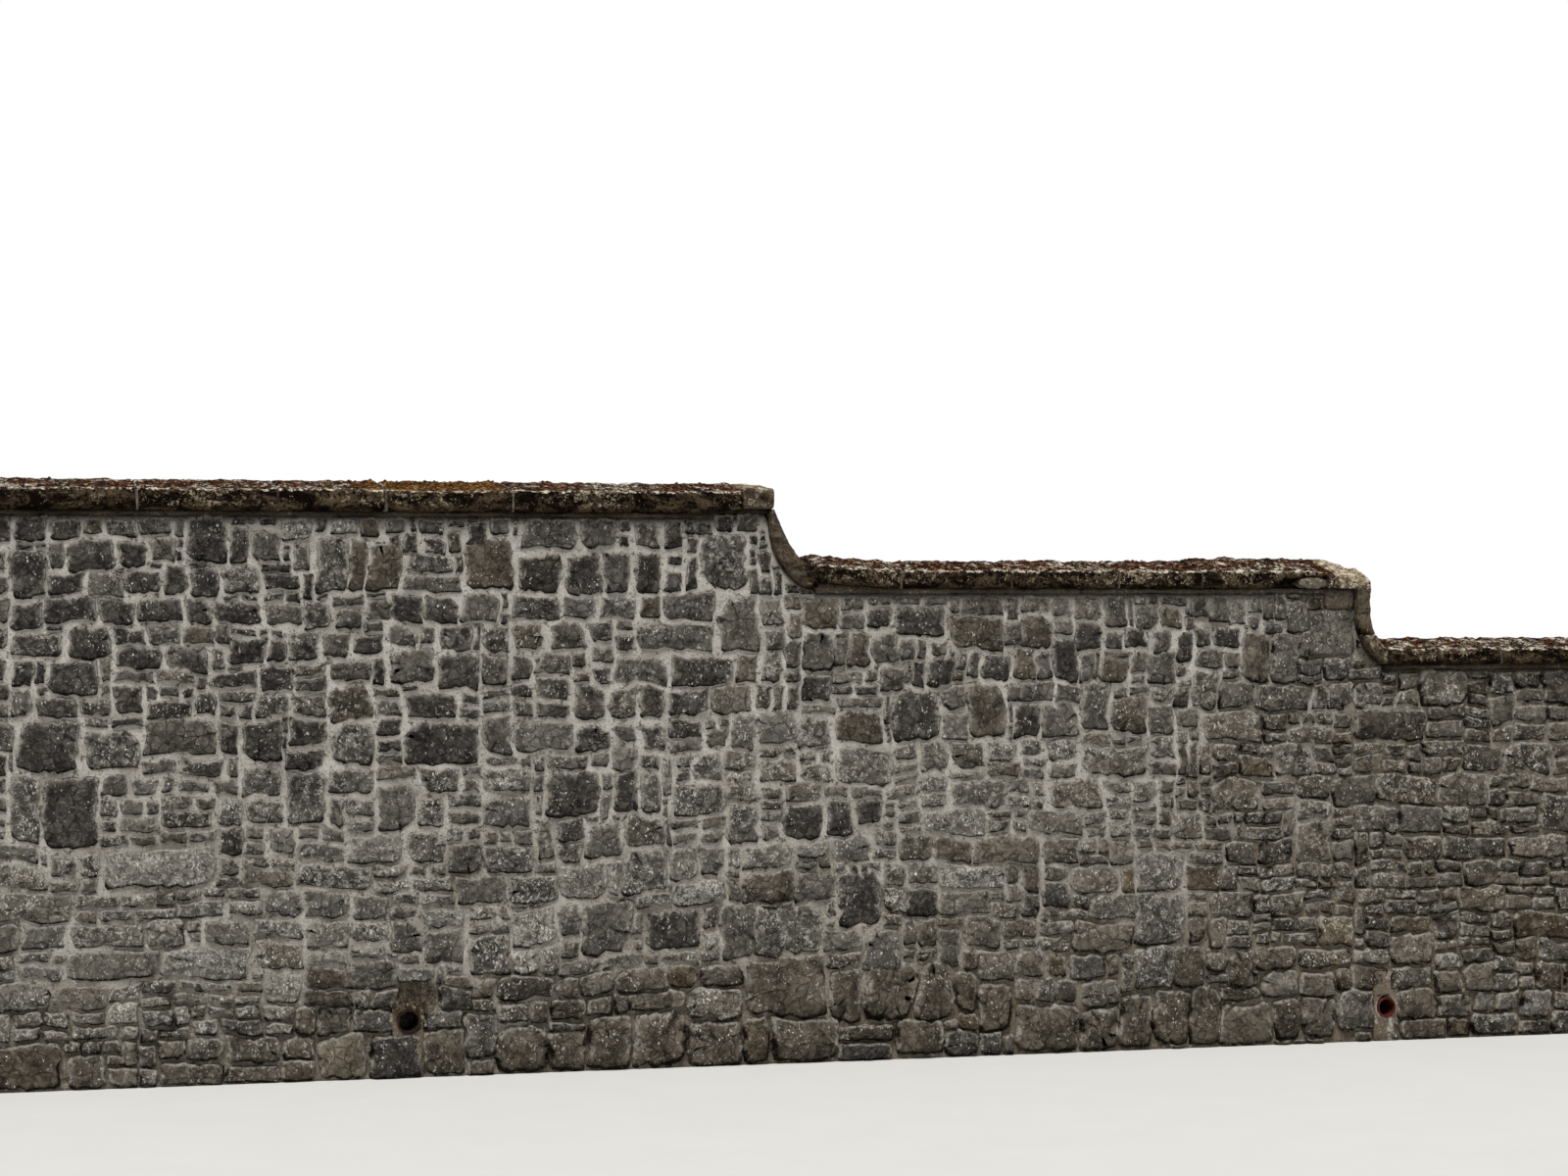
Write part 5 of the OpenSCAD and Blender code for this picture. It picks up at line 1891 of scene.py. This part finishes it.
class WALL_OT_moss(bpy.types.Operator):
    """Grows moss cushions on the tops of the copings"""

    bl_idname = "stepped_wall.moss"
    bl_label = "Moss cushions"

    def execute(self, context):
        scene = context.scene
        settings = scene.wall_copings
        finish = moss_finish(scene.wall_colours)
        tree = self.tree(finish)
        for bay in ("high", "mid", "low"):
            host = self.host(bay)
            layer = host.modifiers.new("moss", "NODES")
            layer.node_group = tree
            values = {"Density": settings.moss_density, "Size": settings.moss_size,
                      "Seed": MOSS_SEED}
            for socket in tree.interface.items_tree:
                if socket.in_out == "INPUT" and socket.name in values:
                    layer[socket.identifier] = values[socket.name]
            context.view_layer.update()
            shown = host.evaluated_get(context.evaluated_depsgraph_get())
            mesh = bpy.data.meshes.new_from_object(shown)
            host.modifiers.remove(layer)
            bpy.data.objects.remove(host)
            if not mesh.vertices:
                raise RuntimeError("no moss grew on the " + bay + " coping")
            add_piece(bay + "_moss", smoothed(mesh), finish)
        return {"FINISHED"}

    def host(self, bay):
        """One mesh of a bay's coping tops, to grow the moss on."""
        points = []
        faces = []
        weights = []
        for piece in bpy.data.objects:
            if not (piece.name.startswith(bay + "_coping") and piece.name.endswith("_stone")):
                continue
            looks = piece.data.attributes["look"].data
            start = len(points)
            points += [tuple(v.co) for v in piece.data.vertices]
            weights += [looks[i].color[1] for i in range(len(piece.data.vertices))]
            for face in piece.data.polygons:
                if face.normal.z > 0.5:
                    faces.append([start + i for i in face.vertices])
        mesh = bpy.data.meshes.new("moss_host")
        mesh.from_pydata(points, [], faces)
        layer = mesh.attributes.new("moss", "FLOAT", "POINT")
        layer.data.foreach_set("value", weights)
        return new_object("moss_host", mesh)

    def tree(self, finish):
        """Scatters rough cushions over the host by its moss attribute."""
        group = bpy.data.node_groups.new("moss_cushions", "GeometryNodeTree")
        for name, way, kind in (("Geometry", "INPUT", "Geometry"), ("Density", "INPUT", "Float"),
                                ("Size", "INPUT", "Float"), ("Seed", "INPUT", "Int"),
                                ("Geometry", "OUTPUT", "Geometry")):
            group.interface.new_socket(name, in_out=way, socket_type="NodeSocket" + kind)
        g = Nodes(group)
        given = g.node("NodeGroupInput").outputs
        named = g.node("GeometryNodeInputNamedAttribute", {"Name": "moss"}, data_type="FLOAT")
        grown = g.node("ShaderNodeMapRange", {
            "Value": named.outputs["Attribute"], "From Min": MOSS_FROM,
            "From Max": MOSS_FULL})
        patchy = g.node("ShaderNodeTexNoise", {"Scale": 22.0})
        gate = g.node("ShaderNodeMapRange", {
            "Value": patchy.outputs[0], "From Min": GAP_BELOW, "From Max": GAP_ABOVE})
        both = g.times(grown.outputs["Result"], gate.outputs["Result"])
        scatter = g.node("GeometryNodeDistributePointsOnFaces", {
            "Mesh": given["Geometry"], "Density": g.times(both, given["Density"]),
            "Seed": given["Seed"]})
        ball = g.node("GeometryNodeMeshIcoSphere", {"Radius": 0.5, "Subdivisions": 1})
        shape = g.node("ShaderNodeTexNoise", {"Scale": 3.0})
        offset = g.node("ShaderNodeVectorMath", {0: shape.outputs["Color"], "Scale": 0.35},
                        operation="SCALE")
        rough = g.node("GeometryNodeSetPosition", {
            "Geometry": ball.outputs["Mesh"], "Offset": offset.outputs[0]})
        flat = g.node("GeometryNodeTransform", {
            "Geometry": rough.outputs["Geometry"], "Scale": (1.2, 1.0, 0.62)})
        spread = g.node("FunctionNodeRandomValue", {2: 0.45, 3: 1.7, "Seed": 3},
                        data_type="FLOAT")
        turn = g.node("FunctionNodeRandomValue", {1: (0.4, 0.4, math.tau), "Seed": 4},
                      data_type="FLOAT_VECTOR")
        stand = g.node("GeometryNodeInstanceOnPoints", {
            "Points": scatter.outputs["Points"], "Instance": flat.outputs["Geometry"],
            "Rotation": turn.outputs[0],
            "Scale": g.times(spread.outputs[1], given["Size"])})
        real = g.node("GeometryNodeRealizeInstances", {"Geometry": stand.outputs["Instances"]})
        paint = g.node("GeometryNodeSetMaterial", {
            "Geometry": real.outputs["Geometry"], "Material": finish})
        g.node("NodeGroupOutput", {"Geometry": paint.outputs["Geometry"]})
        return group


# Stage

# Radius of the floor, and width and direction of the soft light
FLOOR_REACH = 24.0
LIGHT_DEGREES = 26
LIGHT_FROM = (-0.45, -0.90, 1.90)
# Width of the camera's sensor in millimetres, and how far it sees in metres
SENSOR = 36.0
SIGHT = 200.0


class WALL_OT_stage(bpy.types.Operator):
    """Sets up the floor, the soft light and the camera"""

    bl_idname = "stepped_wall.stage"
    bl_label = "Stage"

    def execute(self, context):
        scene = context.scene
        stage = scene.wall_stage
        scene.view_settings.view_transform = "Standard"
        self.floor(scene.wall_colours)
        self.light(scene, stage)
        self.camera(scene, stage)
        return {"FINISHED"}

    def floor(self, colours):
        """A pale disc that fades to white at its rim."""
        mesh = bpy.data.meshes.new("floor")
        work = bmesh.new()
        bmesh.ops.create_circle(work, cap_ends=True, segments=96, radius=FLOOR_REACH)
        work.to_mesh(mesh)
        work.free()
        f = Finish("pale_floor")
        far = f.vector("LENGTH", f.place, output="Value")
        fade = f.band(far, 0.35 * FLOOR_REACH, 0.95 * FLOOR_REACH)
        grain = f.band(f.noise(3.0, 5, 0.6), 0.2, 0.8, 0.97, 1.0)
        grey = f.node("ShaderNodeCombineColor", {0: grain, 1: grain, 2: grain}).outputs[0]
        colour = f.mix(1.0, colours.floor, grey, "MULTIPLY")
        plain = f.node("ShaderNodeBsdfDiffuse", {"Color": colour})
        white = f.node("ShaderNodeEmission")
        join = f.node("ShaderNodeMixShader", {
            0: f.times(fade, f.seen()), 1: plain.outputs[0], 2: white.outputs[0]})
        f.node("ShaderNodeOutputMaterial", {"Surface": join.outputs[0]})
        mesh.materials.append(f.material)
        new_object("floor", mesh)

    def light(self, scene, stage):
        """A wide soft light high in front, and an even fill with a white background."""
        lamp = bpy.data.lights.new("soft_light", "SUN")
        lamp.energy = stage.sun
        lamp.angle = math.radians(LIGHT_DEGREES)
        lamp.color = (1.0, 0.985, 0.96)
        turned = Vector(LIGHT_FROM).to_track_quat("Z", "Y")
        new_object("soft_light", lamp).rotation_euler = turned.to_euler()
        world = bpy.data.worlds.new("even_fill")
        world.use_nodes = True
        w = Nodes(world.node_tree)
        fill = w.node("ShaderNodeBackground", {
            "Color": (0.95, 0.98, 1.0, 1.0), "Strength": stage.sky})
        white = w.node("ShaderNodeBackground", {"Color": (1.0, 1.0, 1.0, 1.0)})
        join = w.node("ShaderNodeMixShader", {
            0: w.seen(), 1: fill.outputs[0], 2: white.outputs[0]})
        w.node("ShaderNodeOutputWorld", {"Surface": join.outputs[0]})
        scene.world = world

    def camera(self, scene, stage):
        """A level camera at the photograph's height and angle."""
        lens = bpy.data.cameras.new("camera")
        lens.lens = stage.lens
        lens.sensor_width = SENSOR
        lens.clip_end = SIGHT
        camera = new_object("camera", lens)
        forward = Vector((math.sin(stage.turn), math.cos(stage.turn), 0.0))
        aim = Vector((STEP_1 + stage.aim, -FACE, stage.eye))
        camera.location = aim - forward * stage.distance
        camera.rotation_euler = (math.pi / 2, 0.0, -stage.turn)
        scene.camera = camera


class WALL_PT_panel(bpy.types.Panel):
    """Lists the steps that build the wall"""

    bl_idname = "WALL_PT_panel"
    bl_label = "Stepped wall"
    bl_space_type = "VIEW_3D"
    bl_region_type = "UI"
    bl_category = "Wall"

    def draw(self, context):
        for step in STEPS:
            self.layout.operator(step.bl_idname)


GROUPS = {
    "wall_ramps": WallRamps,
    "wall_rubble": WallRubble,
    "wall_copings": WallCopings,
    "wall_colours": WallColours,
    "wall_stage": WallStage,
}
STEPS = (WALL_OT_stage, WALL_OT_rubble, WALL_OT_pointing, WALL_OT_beds, WALL_OT_copings,
         WALL_OT_noses, WALL_OT_ramps, WALL_OT_corner_stones, WALL_OT_weeps, WALL_OT_moss)


def register():
    for name, group in GROUPS.items():
        bpy.utils.register_class(group)
        setattr(bpy.types.Scene, name, bpy.props.PointerProperty(type=group))
    for step in STEPS:
        bpy.utils.register_class(step)
    bpy.utils.register_class(WALL_PT_panel)


def unregister():
    bpy.utils.unregister_class(WALL_PT_panel)
    for step in reversed(STEPS):
        bpy.utils.unregister_class(step)
    for name, group in GROUPS.items():
        delattr(bpy.types.Scene, name)
        bpy.utils.unregister_class(group)


def main():
    """Builds the wall step by step."""
    register()
    bpy.ops.stepped_wall.stage()
    bpy.ops.stepped_wall.rubble()
    bpy.ops.stepped_wall.pointing()
    bpy.ops.stepped_wall.beds()
    bpy.ops.stepped_wall.copings()
    bpy.ops.stepped_wall.noses()
    bpy.ops.stepped_wall.ramps()
    bpy.ops.stepped_wall.corner_stones()
    bpy.ops.stepped_wall.weeps()
    bpy.ops.stepped_wall.moss()


if __name__ == "__main__":
    main()
